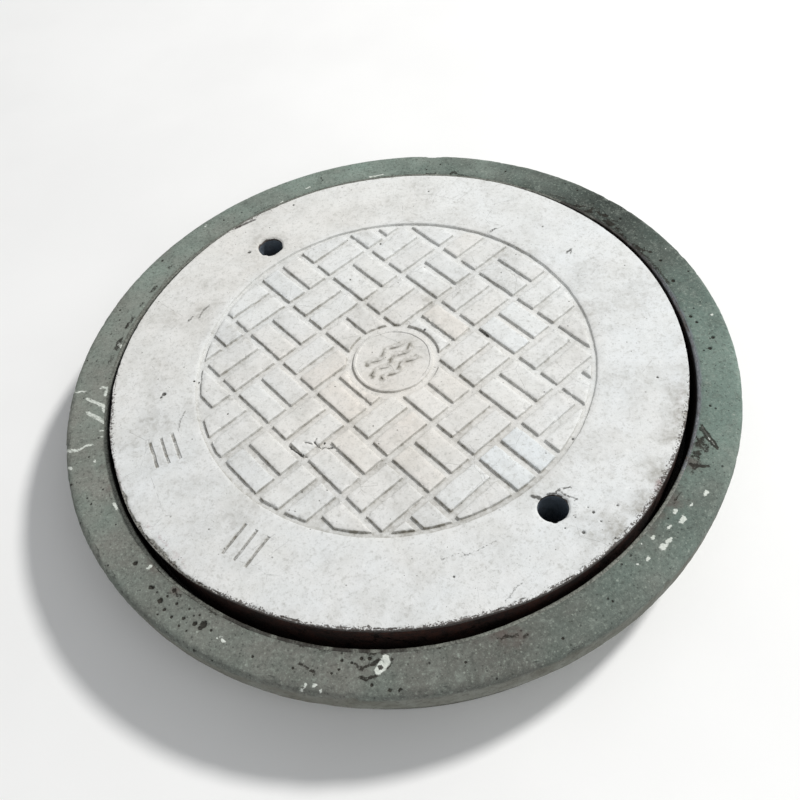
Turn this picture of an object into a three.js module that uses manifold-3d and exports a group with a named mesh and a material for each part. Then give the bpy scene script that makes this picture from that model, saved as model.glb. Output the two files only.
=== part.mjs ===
// Precast concrete manhole cover and frame, about 830 mm across.
// Millimetres, +Z up. Origin: centre of the frame's underside, on the cover's axis.
// Everything is built as it is cast: concrete bodies with the steel lying in tunnels
// of its own shape, CLEAR mm wider all round.
import * as THREE from 'three';
import { mergeVertices } from 'three/addons/utils/BufferGeometryUtils.js';
import Module from 'manifold-3d';

const wasm = await Module();
wasm.setup();

// ---------------------------------------------------------------- dimensions
const SEG = 72;                 // sides of the large circles
const CLEAR = 0.4;              // room left round embedded steel

// frame
const FRAME_H = 100;            // frame height, underside to road surface
const FRAME_R = 415;            // outer radius of the frame's top flange
const SKIRT_R = 394;            // outer radius of the frame below the flange
const THROAT_R = 310;           // clear opening of the shaft
const SEAT_Z = 41.7;            // top of the seat angle, which the cover rests on
const ANGLE_T = 4;              // thickness of the seat angle
const ANGLE_IN_R = 318;         // inner edge of the seat angle's flat leg
const REBATE_LOW_R = 358.4;       // rebate radius at the seat
const REBATE_TOP_R = 364.4;       // rebate radius at the road surface
const ANGLE_TOP_Z = 99.6;

// cover
const COVER_Z = 42;             // underside of the cover at rest
const COVER_T = 70;             // cover thickness
const COVER_TOP = COVER_Z + COVER_T;
const COVER_R = 352.5;            // radius over the edge band
const BAND_T = 4;               // thickness of the edge band
const LIP_H = 5;                // concrete lip above the edge band
const LIP_R = 352;

// raised pattern
const PANEL_R = 247;            // recessed panel
const PANEL_CUT_R = 240;        // the blocks end here
const RELIEF = 3.5;             // depth of the panel's floor
const BADGE_R = 49.5;           // plain disc in the middle
const BADGE_CUT_R = 58.5;       // the blocks end here round the disc
const PITCH = 69.1;             // one cell of the basket weave
const BLOCK_L = 60.1;           // block length
const BLOCK_W = 25.6;           // block width
const WEAVE_TURN = -55.95;      // degrees from +X to the weave's first direction
const WEAVE_U0 = 1.402, WEAVE_V0 = 2.409;   // cover centre, in cells

// lifting holes
const HOLE_PCR = 281;           // distance from the cover's centre
const HOLE_ANGLE = -59.7;       // degrees, near hole; the other is opposite
const HOLE_R = 17;
const SLEEVE_T = 2.5;

// reinforcement of the cover
const BAR_R = 5;
const BAR_AT = [-285, -190, -95, 0, 95, 190, 285];
const BAR_LOW_Z = COVER_Z + 24;
const BAR_HIGH_Z = COVER_Z + 36;

// reinforcement of the frame
const HOOP_R = 4;               // across flats, halved
const HOOP_SEG = 36;
const TIE_COUNT = 12;
const TIE_W = 6;

const D2R = Math.PI / 180;

// ---------------------------------------------------------------- solids
function solid(geometry, matrix) {
  const g = geometry.clone();
  g.deleteAttribute('normal');
  if (g.attributes.uv) g.deleteAttribute('uv');
  if (matrix) g.applyMatrix4(matrix);
  const m = mergeVertices(g, 1e-4);
  const tris = [];
  const ix = m.index.array;
  for (let i = 0; i < ix.length; i += 3) {
    const a = ix[i], b = ix[i + 1], c = ix[i + 2];
    if (a !== b && b !== c && a !== c) tris.push(a, b, c);
  }
  return new wasm.Manifold(new wasm.Mesh({
    numProp: 3,
    vertProperties: new Float32Array(m.attributes.position.array),
    triVerts: new Uint32Array(tris),
  }));
}

function geometryOf(manifold) {
  const mesh = manifold.getMesh();
  const g = new THREE.BufferGeometry();
  const n = mesh.numProp, count = mesh.vertProperties.length / n;
  const pos = new Float32Array(count * 3);
  for (let i = 0; i < count; i++) for (let k = 0; k < 3; k++) pos[3 * i + k] = mesh.vertProperties[n * i + k];
  g.setAttribute('position', new THREE.BufferAttribute(pos, 3));
  g.setIndex(new THREE.BufferAttribute(new Uint32Array(mesh.triVerts), 1));
  g.computeVertexNormals();
  return g;
}

// a ring or disc from a closed or axis-to-axis profile of [radius, height] pairs
function lathe(profile, segments = SEG, closed = true) {
  const pts = profile.map(([r, z]) => new THREE.Vector2(r, z));
  if (closed) pts.push(pts[0].clone());
  const g = new THREE.LatheGeometry(pts, segments);
  // the lathe turns about Y: stand it up
  return g.applyMatrix4(new THREE.Matrix4().makeRotationX(Math.PI / 2));
}

function outward(manifold) { return manifold; }

function latheSolid(profile, segments = SEG, closed = true) {
  let s;
  try { s = solid(lathe(profile, segments, closed)); if (s.volume() > 0) return outward(s); } catch (e) { /* turned inside out below */ }
  return outward(solid(lathe([...profile].reverse(), segments, closed)));
}

function box(x, y, z, cx, cy, cz, turn = 0) {
  const m = new THREE.Matrix4().makeRotationZ(turn);
  m.setPosition(cx, cy, cz);
  return solid(new THREE.BoxGeometry(x, y, z), m);
}

// a round bar of given radius between two points, with `sides` sides
function rod(r, from, to, sides = 8) {
  const a = new THREE.Vector3(...from), b = new THREE.Vector3(...to);
  const len = a.distanceTo(b);
  const g = new THREE.CylinderGeometry(r, r, len, sides, 1);
  g.rotateY(Math.PI / sides);
  const q = new THREE.Quaternion().setFromUnitVectors(new THREE.Vector3(0, 1, 0), b.clone().sub(a).normalize());
  const m = new THREE.Matrix4().compose(a.clone().add(b).multiplyScalar(0.5), q, new THREE.Vector3(1, 1, 1));
  return { g, m };
}
const rodSolid = (...args) => { const { g, m } = rod(...args); return solid(g, m); };

function unionAll(list) {
  let out = list[0];
  for (let i = 1; i < list.length; i++) out = out.add(list[i]);
  return out;
}

// ---------------------------------------------------------------- materials
const concretePale = new THREE.MeshStandardMaterial({ color: 0xdcdcd8, roughness: 0.9, metalness: 0 });
const concreteGreen = new THREE.MeshStandardMaterial({ color: 0x6d7c74, roughness: 0.92, metalness: 0 });
const rustySteel = new THREE.MeshStandardMaterial({ color: 0x4a3229, roughness: 0.75, metalness: 0.6 });
const darkSteel = new THREE.MeshStandardMaterial({ color: 0x57565c, roughness: 0.6, metalness: 0.8 });
const rebarSteel = new THREE.MeshStandardMaterial({ color: 0x6b4a39, roughness: 0.7, metalness: 0.7 });

const object = new THREE.Group();
object.name = 'manhole_cover';
const coverGroup = new THREE.Group();
const frameGroup = new THREE.Group();
object.add(coverGroup, frameGroup);

function part(group, name, geometry, material) {
  const mesh = new THREE.Mesh(geometry, material);
  mesh.name = name;
  group.add(mesh);
  return mesh;
}

// ---------------------------------------------------------------- cover slab
const slabSideR = COVER_R - BAND_T - CLEAR;
const floorZ = COVER_TOP - RELIEF;
let slab = latheSolid([
  [0, COVER_Z],
  [slabSideR - 3, COVER_Z],
  [slabSideR, COVER_Z + 3],
  [slabSideR, COVER_TOP - LIP_H],
  [LIP_R, COVER_TOP - LIP_H],
  [LIP_R, COVER_TOP - 1.6],
  [LIP_R - 1.6, COVER_TOP],
  [PANEL_R, COVER_TOP],
  [PANEL_R - 1, floorZ],
  [0, floorZ],
], SEG, false);

// blocks of the basket weave: cells alternate between two lying blocks and two standing ones
const weave = new THREE.Matrix4().makeRotationZ(WEAVE_TURN * D2R);
function block(u0, v0, lu, lv) {
  const z0 = floorZ - 3, h = COVER_TOP - z0;
  const m = new THREE.Matrix4().makeTranslation(
    (u0 - WEAVE_U0) * PITCH + lu / 2, (v0 - WEAVE_V0) * PITCH + lv / 2, z0 + h / 2);
  m.premultiply(weave);
  return solid(new THREE.BoxGeometry(lu, lv, h), m);
}
// blocks that would only leave a sliver at the rim of the panel are not there
function reachesIn(u0, v0, lu, lv) {
  const u = Math.abs((u0 - WEAVE_U0) * PITCH + lu / 2), v = Math.abs((v0 - WEAVE_V0) * PITCH + lv / 2);
  return Math.hypot(Math.max(u - lu / 2, 0), Math.max(v - lv / 2, 0)) < PANEL_CUT_R - 6;
}
const blocks = [];
for (let i = -4; i <= 7; i++) {
  for (let j = -4; j <= 9; j++) {
    const cu = (i + 0.45 - WEAVE_U0) * PITCH, cv = (j + 0.45 - WEAVE_V0) * PITCH;
    if (Math.hypot(cu, cv) > PANEL_CUT_R + 45) continue;
    for (const k of [0, 0.5]) {
      const at = (i + j) % 2 === 0 ? [i, j + k, BLOCK_L, BLOCK_W] : [i + k, j, BLOCK_W, BLOCK_L];
      if (reachesIn(...at)) blocks.push(block(...at));
    }
  }
}
const blockZone = latheSolid([
  [BADGE_CUT_R, floorZ - 6], [PANEL_CUT_R, floorZ - 6], [PANEL_CUT_R, COVER_TOP + 2], [BADGE_CUT_R, COVER_TOP + 2],
], SEG);
const weaveBlocks = unionAll(blocks).intersect(blockZone);
slab = slab.add(weaveBlocks);

// plain disc in the middle, with three raised waves
const badge = latheSolid([[0, floorZ - 3], [BADGE_R, floorZ - 3], [BADGE_R, COVER_TOP - 1.2], [BADGE_R - 0.8, COVER_TOP - 0.6],
  [BADGE_R - 3.4, COVER_TOP - 0.6], [BADGE_R - 4, COVER_TOP - 1.6], [0, COVER_TOP - 1.6]], 48, false);
slab = slab.add(badge);
function wave(cy, half, amp, width) {
  const n = 12, up = [], down = [];
  for (let i = 0; i <= n; i++) {
    const x = -half + (2 * half * i) / n;
    const y = cy + amp * Math.sin((x / 30) * Math.PI * 2);
    up.push([x, y + width / 2]);
    down.push([x, y - width / 2]);
  }
  const shape = new THREE.Shape([...down, ...up.reverse()].map(([x, y]) => new THREE.Vector2(x, y)));
  const g = new THREE.ExtrudeGeometry(shape, { depth: 3, bevelEnabled: false });
  const m = new THREE.Matrix4().makeRotationZ(WEAVE_TURN * D2R + Math.PI / 2);
  m.setPosition(0, 0, COVER_TOP - 3);
  return solid(g, m);
}
for (const [cy, half] of [[15, 26], [0, 33], [-15, 26]]) slab = slab.add(wave(cy, half, 3, 4.2));

// two cast marks on the rim, cut 1.5 mm deep: three plain bars along the rim, and three across it
function markStroke(cx, cy, len, width, turn) {
  return box(len, width, 3, cx, cy, COVER_TOP, turn);
}
function markAt(angle, strokes) {
  const a = angle * D2R, r = 294;
  return strokes.map(([dr, dt, len, turn]) => {
    const x = (r + dr) * Math.cos(a) - dt * Math.sin(a), y = (r + dr) * Math.sin(a) + dt * Math.cos(a);
    return markStroke(x, y, len, 3.6, a + turn);
  });
}
const marks = [
  ...markAt(-164.4, [[-14, 0, 40, Math.PI / 2], [0, 0, 40, Math.PI / 2], [14, 0, 40, Math.PI / 2]]),
  ...markAt(-130.5, [[0, -16, 42, 0], [0, 0, 42, 0], [0, 16, 42, 0]]),
];
for (const m of marks) slab = slab.subtract(m);

// lifting holes and their sleeves
const holeAngles = [HOLE_ANGLE, HOLE_ANGLE + 180];
const sleeveNames = ['lift_hole_sleeve_near', 'lift_hole_sleeve_far'];
const mouth = 5;      // concrete rim above the sleeve
holeAngles.forEach((deg, k) => {
  const x = HOLE_PCR * Math.cos(deg * D2R), y = HOLE_PCR * Math.sin(deg * D2R);
  const at = new THREE.Matrix4().makeTranslation(x, y, 0);
  const bore = lathe([[0, COVER_Z - 5], [HOLE_R + SLEEVE_T + CLEAR, COVER_Z - 5], [HOLE_R + SLEEVE_T + CLEAR, COVER_TOP - mouth],
    [HOLE_R, COVER_TOP - mouth], [HOLE_R, COVER_TOP - 1.5], [HOLE_R + 1.6, COVER_TOP + 0.1], [HOLE_R + 1.6, COVER_TOP + 5], [0, COVER_TOP + 5]], 24, false);
  slab = slab.subtract(solid(bore, at));
  const sleeve = lathe([[HOLE_R, COVER_Z + 1], [HOLE_R + SLEEVE_T, COVER_Z + 1],
    [HOLE_R + SLEEVE_T, COVER_TOP - mouth - CLEAR], [HOLE_R, COVER_TOP - mouth - CLEAR]], 24);
  part(coverGroup, sleeveNames[k], geometryOf(solid(sleeve, at)), darkSteel);
});

// crossed bars in two layers, each in a tunnel that ends at the edge band
const barEndR = COVER_R - BAND_T - 1.2;
BAR_AT.forEach((v, i) => {
  for (const [layer, z] of [['lower', BAR_LOW_Z], ['upper', BAR_HIGH_Z]]) {
    const half = Math.sqrt(barEndR ** 2 - (Math.abs(v) + BAR_R) ** 2);
    const ends = layer === 'lower'
      ? [[-half, v, z], [half, v, z]] : [[v, -half, z], [v, half, z]];
    const far = layer === 'lower' ? [[-380, v, z], [380, v, z]] : [[v, -380, z], [v, 380, z]];
    slab = slab.subtract(rodSolid(BAR_R + CLEAR, far[0], far[1]));
    const { g, m } = rod(BAR_R, ends[0], ends[1]);
    g.applyMatrix4(m);
    part(coverGroup, `${layer}_bar_${i + 1}`, g, rebarSteel);
  }
});
part(coverGroup, 'cover_slab', geometryOf(slab), concretePale);

// rolled steel band round the cover's side
part(coverGroup, 'cover_edge_band', lathe([
  [COVER_R - BAND_T, COVER_Z + 0.5], [COVER_R - 0.6, COVER_Z + 0.5], [COVER_R, COVER_Z + 1.4],
  [COVER_R, COVER_TOP - LIP_H - CLEAR], [COVER_R - BAND_T, COVER_TOP - LIP_H - CLEAR],
]), rustySteel);

// ---------------------------------------------------------------- frame
const angleFootZ = SEAT_Z - ANGLE_T;
const ledgeZ = angleFootZ - 0.3;
const wall = (z) => REBATE_LOW_R + ((REBATE_TOP_R - REBATE_LOW_R) * (z - SEAT_Z)) / (ANGLE_TOP_Z - SEAT_Z);
let ring = latheSolid([
  [THROAT_R + 3, 0],
  [SKIRT_R - 3, 0],
  [SKIRT_R - 0.5, 2.5],
  [SKIRT_R, 42],
  [FRAME_R - 1.5, 62],
  [FRAME_R, 88],
  [FRAME_R - 1.2, 95],
  [FRAME_R - 4.5, 98.8],
  [FRAME_R - 9, FRAME_H],
  [wall(FRAME_H) + ANGLE_T + CLEAR, FRAME_H],
  [wall(SEAT_Z) + ANGLE_T + CLEAR, SEAT_Z],
  [wall(SEAT_Z) + ANGLE_T + CLEAR, ledgeZ],
  [THROAT_R + 3, ledgeZ],
  [THROAT_R, ledgeZ - 3],
  [THROAT_R, 3],
], SEG);

// ring bars of the frame: six-sided rings with flat tops
function hexRing(r, z, grow) {
  const a = HOOP_R + grow, c = a / Math.cos(Math.PI / 6);
  const p = [];
  for (let k = 0; k < 6; k++) p.push([r + c * Math.cos(k * Math.PI / 3), z + c * Math.sin(k * Math.PI / 3)]);
  return p;
}
const hoops = {
  hoop_lower_inner: [345, 19 + CLEAR + HOOP_R],
  hoop_lower_outer: [367, 19 + CLEAR + HOOP_R],
  hoop_upper_inner: [387.3, 83 - CLEAR - HOOP_R],
  hoop_upper_outer: [399, 83 - CLEAR - HOOP_R],
};
// the two upper ring bars lie side by side under the hook of the ties
for (const [name, [r, z]] of Object.entries(hoops)) {
  part(frameGroup, name, geometryOf(latheSolid(hexRing(r, z, 0), HOOP_SEG)), rebarSteel);
  ring = ring.subtract(latheSolid(hexRing(r, z, CLEAR), HOOP_SEG));
}

// bent ties: up under the seat angle, along the base, up the wall and over in a hook
function tiePath(grow) {
  const g = grow;
  return [
    [330 - g, ledgeZ - 0.3 + (g ? 5 : 0)], [330 - g, 13 - g], [382 + g, 13 - g], [382 + g, 83 - g], [405 + g, 83 - g],
    [405 + g, 89 + g], [376 - g, 89 + g], [376 - g, 19 + g], [336 + g, 19 + g], [336 + g, ledgeZ - 0.3 + (g ? 5 : 0)],
  ];
}
function tie(deg, grow) {
  const shape = new THREE.Shape(tiePath(grow).map(([x, y]) => new THREE.Vector2(x, y)));
  const g = new THREE.ExtrudeGeometry(shape, { depth: TIE_W + 2 * grow, bevelEnabled: false });
  g.translate(0, 0, -TIE_W / 2 - grow);
  const m = new THREE.Matrix4().makeRotationZ(deg * D2R).multiply(new THREE.Matrix4().makeRotationX(Math.PI / 2));
  return { g, m };
}
for (let k = 0; k < TIE_COUNT; k++) {
  const deg = (360 / TIE_COUNT) * k;
  const cut = tie(deg, CLEAR);
  ring = ring.subtract(solid(cut.g, cut.m));
  const t = tie(deg, 0);
  t.g.applyMatrix4(t.m);
  part(frameGroup, `frame_tie_${String(k + 1).padStart(2, '0')}`, t.g, rebarSteel);
}
part(frameGroup, 'frame_ring', geometryOf(ring), concreteGreen);

// steel angle that lines the rebate: flat seat leg and flared upright leg
part(frameGroup, 'seat_angle_ring', lathe([
  [ANGLE_IN_R, angleFootZ],
  [wall(SEAT_Z) + ANGLE_T, angleFootZ],
  [wall(SEAT_Z) + ANGLE_T, SEAT_Z],
  [wall(ANGLE_TOP_Z) + ANGLE_T, ANGLE_TOP_Z],
  [wall(ANGLE_TOP_Z), ANGLE_TOP_Z],
  [wall(SEAT_Z), SEAT_Z],
  [ANGLE_IN_R, SEAT_Z],
]), darkSteel);

export default object;
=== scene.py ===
"""Looks of the precast concrete manhole cover: cast, worn concrete with a basket-weave panel, rusted
steel round it and inside it, a grey-green concrete frame, a pale floor and soft studio light.
Meshes are worked out in millimetres and written in metres."""
import math

import bpy
import numpy as np
from mathutils import Matrix, Vector
from mathutils.geometry import delaunay_2d_cdt
from mathutils.kdtree import KDTree


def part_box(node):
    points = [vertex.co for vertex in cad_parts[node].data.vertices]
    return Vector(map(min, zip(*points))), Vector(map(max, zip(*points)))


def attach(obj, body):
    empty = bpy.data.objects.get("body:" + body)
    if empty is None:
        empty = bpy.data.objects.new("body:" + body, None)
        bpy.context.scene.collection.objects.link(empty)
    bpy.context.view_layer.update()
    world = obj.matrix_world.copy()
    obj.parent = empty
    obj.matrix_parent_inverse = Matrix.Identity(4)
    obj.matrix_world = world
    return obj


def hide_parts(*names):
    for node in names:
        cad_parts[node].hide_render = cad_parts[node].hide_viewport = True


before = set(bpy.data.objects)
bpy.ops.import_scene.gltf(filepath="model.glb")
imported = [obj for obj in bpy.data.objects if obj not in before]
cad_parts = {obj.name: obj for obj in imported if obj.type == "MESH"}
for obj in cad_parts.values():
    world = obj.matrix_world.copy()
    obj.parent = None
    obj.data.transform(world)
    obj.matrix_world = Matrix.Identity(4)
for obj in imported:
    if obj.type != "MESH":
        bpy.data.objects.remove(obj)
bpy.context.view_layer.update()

MM = 0.001

# ------------------------------------------------------------------ sizes (mm), the CAD's own
slab_lo, slab_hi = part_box("cover_slab")
ring_lo, ring_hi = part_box("frame_ring")
band_lo, band_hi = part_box("cover_edge_band")
angle_lo, angle_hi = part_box("seat_angle_ring")
TOP = slab_hi.z / MM            # top of the cover
BOT = slab_lo.z / MM            # underside of the cover
ROAD = ring_hi.z / MM           # top of the frame
FRAME_R = ring_hi.x / MM
BAND_R = band_hi.x / MM         # cover radius over the steel
BAND_T = 4.0
CLEAR = 0.4
LIP_H = 5.0
LIP_R = slab_hi.x / MM
SIDE_R = BAND_R - BAND_T - CLEAR
SKIRT_R = 394.0
THROAT_R = 310.0
SEAT_Z = 41.7
ANGLE_T = 4.0
ANGLE_IN_R = 318.0
WALL_TOP_R, ANGLE_TOP_Z = angle_hi.x / MM - ANGLE_T, angle_hi.z / MM
WALL_LOW_R = WALL_TOP_R - 6.0

PANEL_R = 247.0
PANEL_CUT_R = 240.0
RELIEF = 3.5
BADGE_R = 49.5
BADGE_CUT_R = 58.5
PITCH = 69.1
BLOCK_L, BLOCK_W = 60.1, 25.6
WEAVE_TURN = math.radians(-55.95)
WEAVE_U0, WEAVE_V0 = 1.402, 2.409
HOLE_A = math.radians(-59.7)
HOLE_PCR = 281.0
HOLE_R = 17.0
SLEEVE_T = 2.5
MOUTH = 5.0
HOLES = [(HOLE_PCR * math.cos(HOLE_A), HOLE_PCR * math.sin(HOLE_A)),
         (-HOLE_PCR * math.cos(HOLE_A), -HOLE_PCR * math.sin(HOLE_A))]
BAR_R = 5.0
BAR_AT = [-285, -190, -95, 0, 95, 190, 285]
BAR_LOW_Z, BAR_HIGH_Z = BOT + 24, BOT + 36
WAVES = [(15.0, 26.0), (0.0, 33.0), (-15.0, 26.0)]
WAVE_AMP, WAVE_LEN, WAVE_W = 3.0, 30.0, 5.0
MARK_W = 4.2


# ------------------------------------------------------------------ noise
def _hash(ix, iy, seed):
    h = (ix.astype(np.int64) * 374761393 + iy.astype(np.int64) * 668265263 + seed * 974634777) & 0xFFFFFFFF
    h = ((h ^ (h >> 13)) * 1274126177) & 0xFFFFFFFF
    h = ((h ^ (h >> 15)) * 2246822519) & 0xFFFFFFFF
    return ((h ^ (h >> 16)) & 0xFFFFFF) / float(0x1000000)


def vnoise(x, y, scale, seed):
    """Smooth value noise, 0 to 1."""
    u, v = np.asarray(x, float) / scale + 137.3, np.asarray(y, float) / scale + 71.9
    iu, iv = np.floor(u), np.floor(v)
    f, g = u - iu, v - iv
    f, g = f * f * f * (f * (f * 6 - 15) + 10), g * g * g * (g * (g * 6 - 15) + 10)
    a, b = _hash(iu, iv, seed), _hash(iu + 1, iv, seed)
    c, d = _hash(iu, iv + 1, seed), _hash(iu + 1, iv + 1, seed)
    return (a * (1 - f) + b * f) * (1 - g) + (c * (1 - f) + d * f) * g


def fbm(x, y, scale, seed, octaves=3, gain=0.5):
    total, amp, out = 0.0, 1.0, 0.0
    for k in range(octaves):
        out = out + amp * vnoise(x, y, scale / 2 ** k, seed + 17 * k)
        total += amp
        amp *= gain
    return out / total


def smooth(a, b, x):
    t = np.clip((np.asarray(x, float) - a) / (b - a), 0, 1)
    return t * t * (3 - 2 * t)


def lobe(th, centre, width, power=2):
    """1 in one direction round the ring (degrees), fading out to either side."""
    return np.exp(-np.abs(np.degrees(np.angle(np.exp(1j * (th - math.radians(centre))))) / width) ** power)


def opening_shift(th):
    """How far the frame's opening is out of true by direction: tighter on the right and the left, wider near left."""
    return -2.3 * lobe(th, -34, 50, 8) - 0.9 * lobe(th, 0, 11) + 1.3 * lobe(th, -115, 20) - 3.4 * lobe(th, -171, 24, 3) + 0.9 * lobe(th, -143, 12)


def rim_shift(th):
    """How far the cover's own edge is out of round by direction."""
    out = 3.6 * lobe(th, -60, 17, 4) + 0.9 * lobe(th, -36, 10) + 2.5 * lobe(th, -152, 15) + 4.3 * lobe(th, -143, 15, 4) + 1.1 * lobe(th, -172, 16, 4) + 0.9 * lobe(th, 178, 14) - 0.9 * lobe(th, -101, 9)
    out = out + 0.4 * lobe(th, 0, 28) - 1.5 * lobe(th, 38, 14) - 2.5 * lobe(th, 84, 24) - 1.4 * lobe(th, 110, 6) - 2.0 * lobe(th, 142, 16)
    return np.minimum(out, (BAND_R - 0.15) / np.maximum(np.abs(np.cos(th)), np.abs(np.sin(th))) - LIP_R)


def seg_dist(x, y, pts):
    """Distance from points to a polyline."""
    best = np.full(np.shape(x), 1e9)
    for (ax, ay), (bx, by) in zip(pts[:-1], pts[1:]):
        dx, dy = bx - ax, by - ay
        t = np.clip(((x - ax) * dx + (y - ay) * dy) / max(dx * dx + dy * dy, 1e-9), 0, 1)
        best = np.minimum(best, np.hypot(x - ax - t * dx, y - ay - t * dy))
    return best


# ------------------------------------------------------------------ the basket weave, as a distance field
CW, SW = math.cos(WEAVE_TURN), math.sin(WEAVE_TURN)


def to_weave(x, y):
    return CW * x + SW * y, -SW * x + CW * y


def from_weave(u, v):
    return CW * u - SW * v, SW * u + CW * v


BLOCKS = []          # centre in weave axes, half sizes
for i in range(-4, 8):
    for j in range(-4, 10):
        cu, cv = (i + 0.45 - WEAVE_U0) * PITCH, (j + 0.45 - WEAVE_V0) * PITCH
        if math.hypot(cu, cv) > PANEL_CUT_R + 45:
            continue
        for k in (0, 0.5):
            if (i + j) % 2 == 0:
                u0, v0, lu, lv = i, j + k, BLOCK_L, BLOCK_W
            else:
                u0, v0, lu, lv = i + k, j, BLOCK_W, BLOCK_L
            u = (u0 - WEAVE_U0) * PITCH + lu / 2
            v = (v0 - WEAVE_V0) * PITCH + lv / 2
            near = math.hypot(max(abs(u) - lu / 2, 0), max(abs(v) - lv / 2, 0))
            far = math.hypot(abs(u) + lu / 2, abs(v) + lv / 2)
            if near < PANEL_CUT_R - 6 and far > BADGE_CUT_R:
                BLOCKS.append((u, v, lu / 2, lv / 2))


def block_field(x, y):
    """(signed distance to the nearest block, its number)."""
    u, v = to_weave(x, y)
    r = np.hypot(x, y)
    clip = np.maximum(r - PANEL_CUT_R, BADGE_CUT_R - r)
    best, which = np.full(np.shape(x), 1e9), np.zeros(np.shape(x), int)
    for n, (cu, cv, hu, hv) in enumerate(BLOCKS):
        qu, qv = np.abs(u - cu) - hu, np.abs(v - cv) - hv
        d = np.hypot(np.maximum(qu, 0), np.maximum(qv, 0)) + np.minimum(np.maximum(qu, qv), 0)
        d = np.maximum(d, clip)
        closer = d < best
        best = np.where(closer, d, best)
        which = np.where(closer, n, which)
    return best, which


def wave_line(cy, half):
    t = np.linspace(-half, half, 40)
    u, v = t, cy + WAVE_AMP * np.sin(t / WAVE_LEN * 2 * math.pi)
    a = WEAVE_TURN + math.pi / 2
    return [(math.cos(a) * p - math.sin(a) * q, math.sin(a) * p + math.cos(a) * q) for p, q in zip(u, v)]


WAVE_LINES = [wave_line(cy, half) for cy, half in WAVES]


def wave_field(x, y):
    return np.minimum.reduce([seg_dist(x, y, w) for w in WAVE_LINES]) - WAVE_W / 2


def mark_bars():
    bars = []
    for angle, strokes in ((-164.4, [(-14, 0, 40, 1), (0, 0, 40, 1), (14, 0, 40, 1)]),
                           (-130.5, [(0, -16, 42, 0), (0, 0, 42, 0), (0, 16, 42, 0)])):
        a = math.radians(angle)
        for dr, dt, length, across in strokes:
            cx = (294 + dr) * math.cos(a) - dt * math.sin(a)
            cy = (294 + dr) * math.sin(a) + dt * math.cos(a)
            bars.append((cx, cy, length / 2, MARK_W / 2, a + across * math.pi / 2))
    return bars


MARKS = mark_bars()


def mark_field(x, y):
    best = np.full(np.shape(x), 1e9)
    for cx, cy, hl, hw, a in MARKS:
        p = (x - cx) * math.cos(a) + (y - cy) * math.sin(a)
        q = -(x - cx) * math.sin(a) + (y - cy) * math.cos(a)
        qp, qq = np.abs(p) - hl, np.abs(q) - hw
        best = np.minimum(best, np.hypot(np.maximum(qp, 0), np.maximum(qq, 0)) + np.minimum(np.maximum(qp, qq), 0))
    return best


# ------------------------------------------------------------------ wear and dirt on the cover (x, y, radius, depth)
PITS = [(-172.2, 237.9, 2.6, 2.2), (-286.5, 7.2, 3.3, 2.4), (-290.0, 3.0, 2.0, 1.5), (45.9, 39.1, 2.2, 1.6), (184.9, -158.5, 2.0, 1.4),
        (10.3, 212.4, 1.7, 1.2), (-248.6, 19.8, 1.6, 1.0), (-243.5, 18.7, 1.5, 1.0), (181.7, -256.2, 2.0, 1.4), (165.4, -277.3, 2.6, 1.8),
        (208.4, -252.8, 1.8, 1.2), (186.4, -268.1, 1.5, 1.0), (195.5, -290.3, 2.0, 1.4), (147.9, -269.0, 1.4, 0.9), (161.3, -258.3, 1.3, 0.8),
        (177.7, -249.2, 1.4, 0.8), (-94.6, -105.9, 1.7, 1.6), (-104, 322, 1.8, 1.0), (92, 301, 1.6, 0.9), (-38.0, 150.0, 1.4, 0.9),
        (121.0, 14.0, 2.0, 1.0), (-207, -41, 1.4, 0.9), (232, 188, 1.5, 0.9), (301, -96, 1.6, 0.9), (24, -302, 1.5, 0.9)]
STROKES = [  # dark smears: polyline, half width, strength
    ([(-258.0, 123.0), (-251.0, 132.0)], 1.5, 0.46), ([(-243.0, 127.0), (-238.0, 139.0), (-229.0, 147.0)], 1.7, 0.46), ([(-262.0, 164.0), (-252.0, 171.0)], 0.9, 0.38),
    ([(122.3, -223.0), (127.0, -226.5), (131.5, -228.5)], 2.2, 0.66),
    ([(143.9, -228.6), (150.0, -223.4), (154.3, -221.8), (166.4, -221.6)], 1.0, 0.58),
    ([(154.8, -225.8), (159.7, -231.4), (165.2, -234.9), (168.9, -237.8)], 1.0, 0.50), ([(165.2, -239.2), (164.7, -247.9), (161.7, -256.8)], 1.4, 0.32),
    ([(140.3, -225.3), (149.0, -225.8)], 1.6, 0.55),
    ([(250.5, 131.0), (258.5, 136.0), (256.0, 128.0)], 1.3, 0.55),
    ([(166.4, 127.5), (173.0, 114.5), (181.6, 101.0)], 2.2, 0.30),
    ([(163.0, 124.0), (170.0, 108.0)], 1.2, 0.26),
    ([(78.0, -112.0), (81.5, -115.0)], 1.6, 0.30), ([(76.4, -153.7), (73.4, -149.1), (73.6, -143.4), (77.6, -140.1), (81.2, -139.9)], 0.7, 0.34),
    ([(34.1, -281.4), (56.2, -276.3), (75.6, -269.3)], 0.8, 0.46),
    ([(13.1, -280.9), (37.1, -276.2)], 0.7, 0.44),
    ([(69.5, -338.9), (83.4, -326.1), (90.5, -321.9)], 0.9, 0.46),
    ([(-161.0, 305.0), (-171.7, 300.5), (-190.2, 293.1)], 2.2, 0.60),
    ([(161.0, 196.0), (170.0, 200.5)], 1.8, 0.60),
    ([(113.1, 26.0), (118.0, 19.0), (122.0, 12.0)], 1.6, 0.60),
    ([(91.5, -139.8), (94.5, -137.8)], 1.1, 0.55),
    ([(-258.1, -24.1), (-265.3, -37.8), (-267.4, -55.5)], 1.1, 0.44),
]
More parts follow.
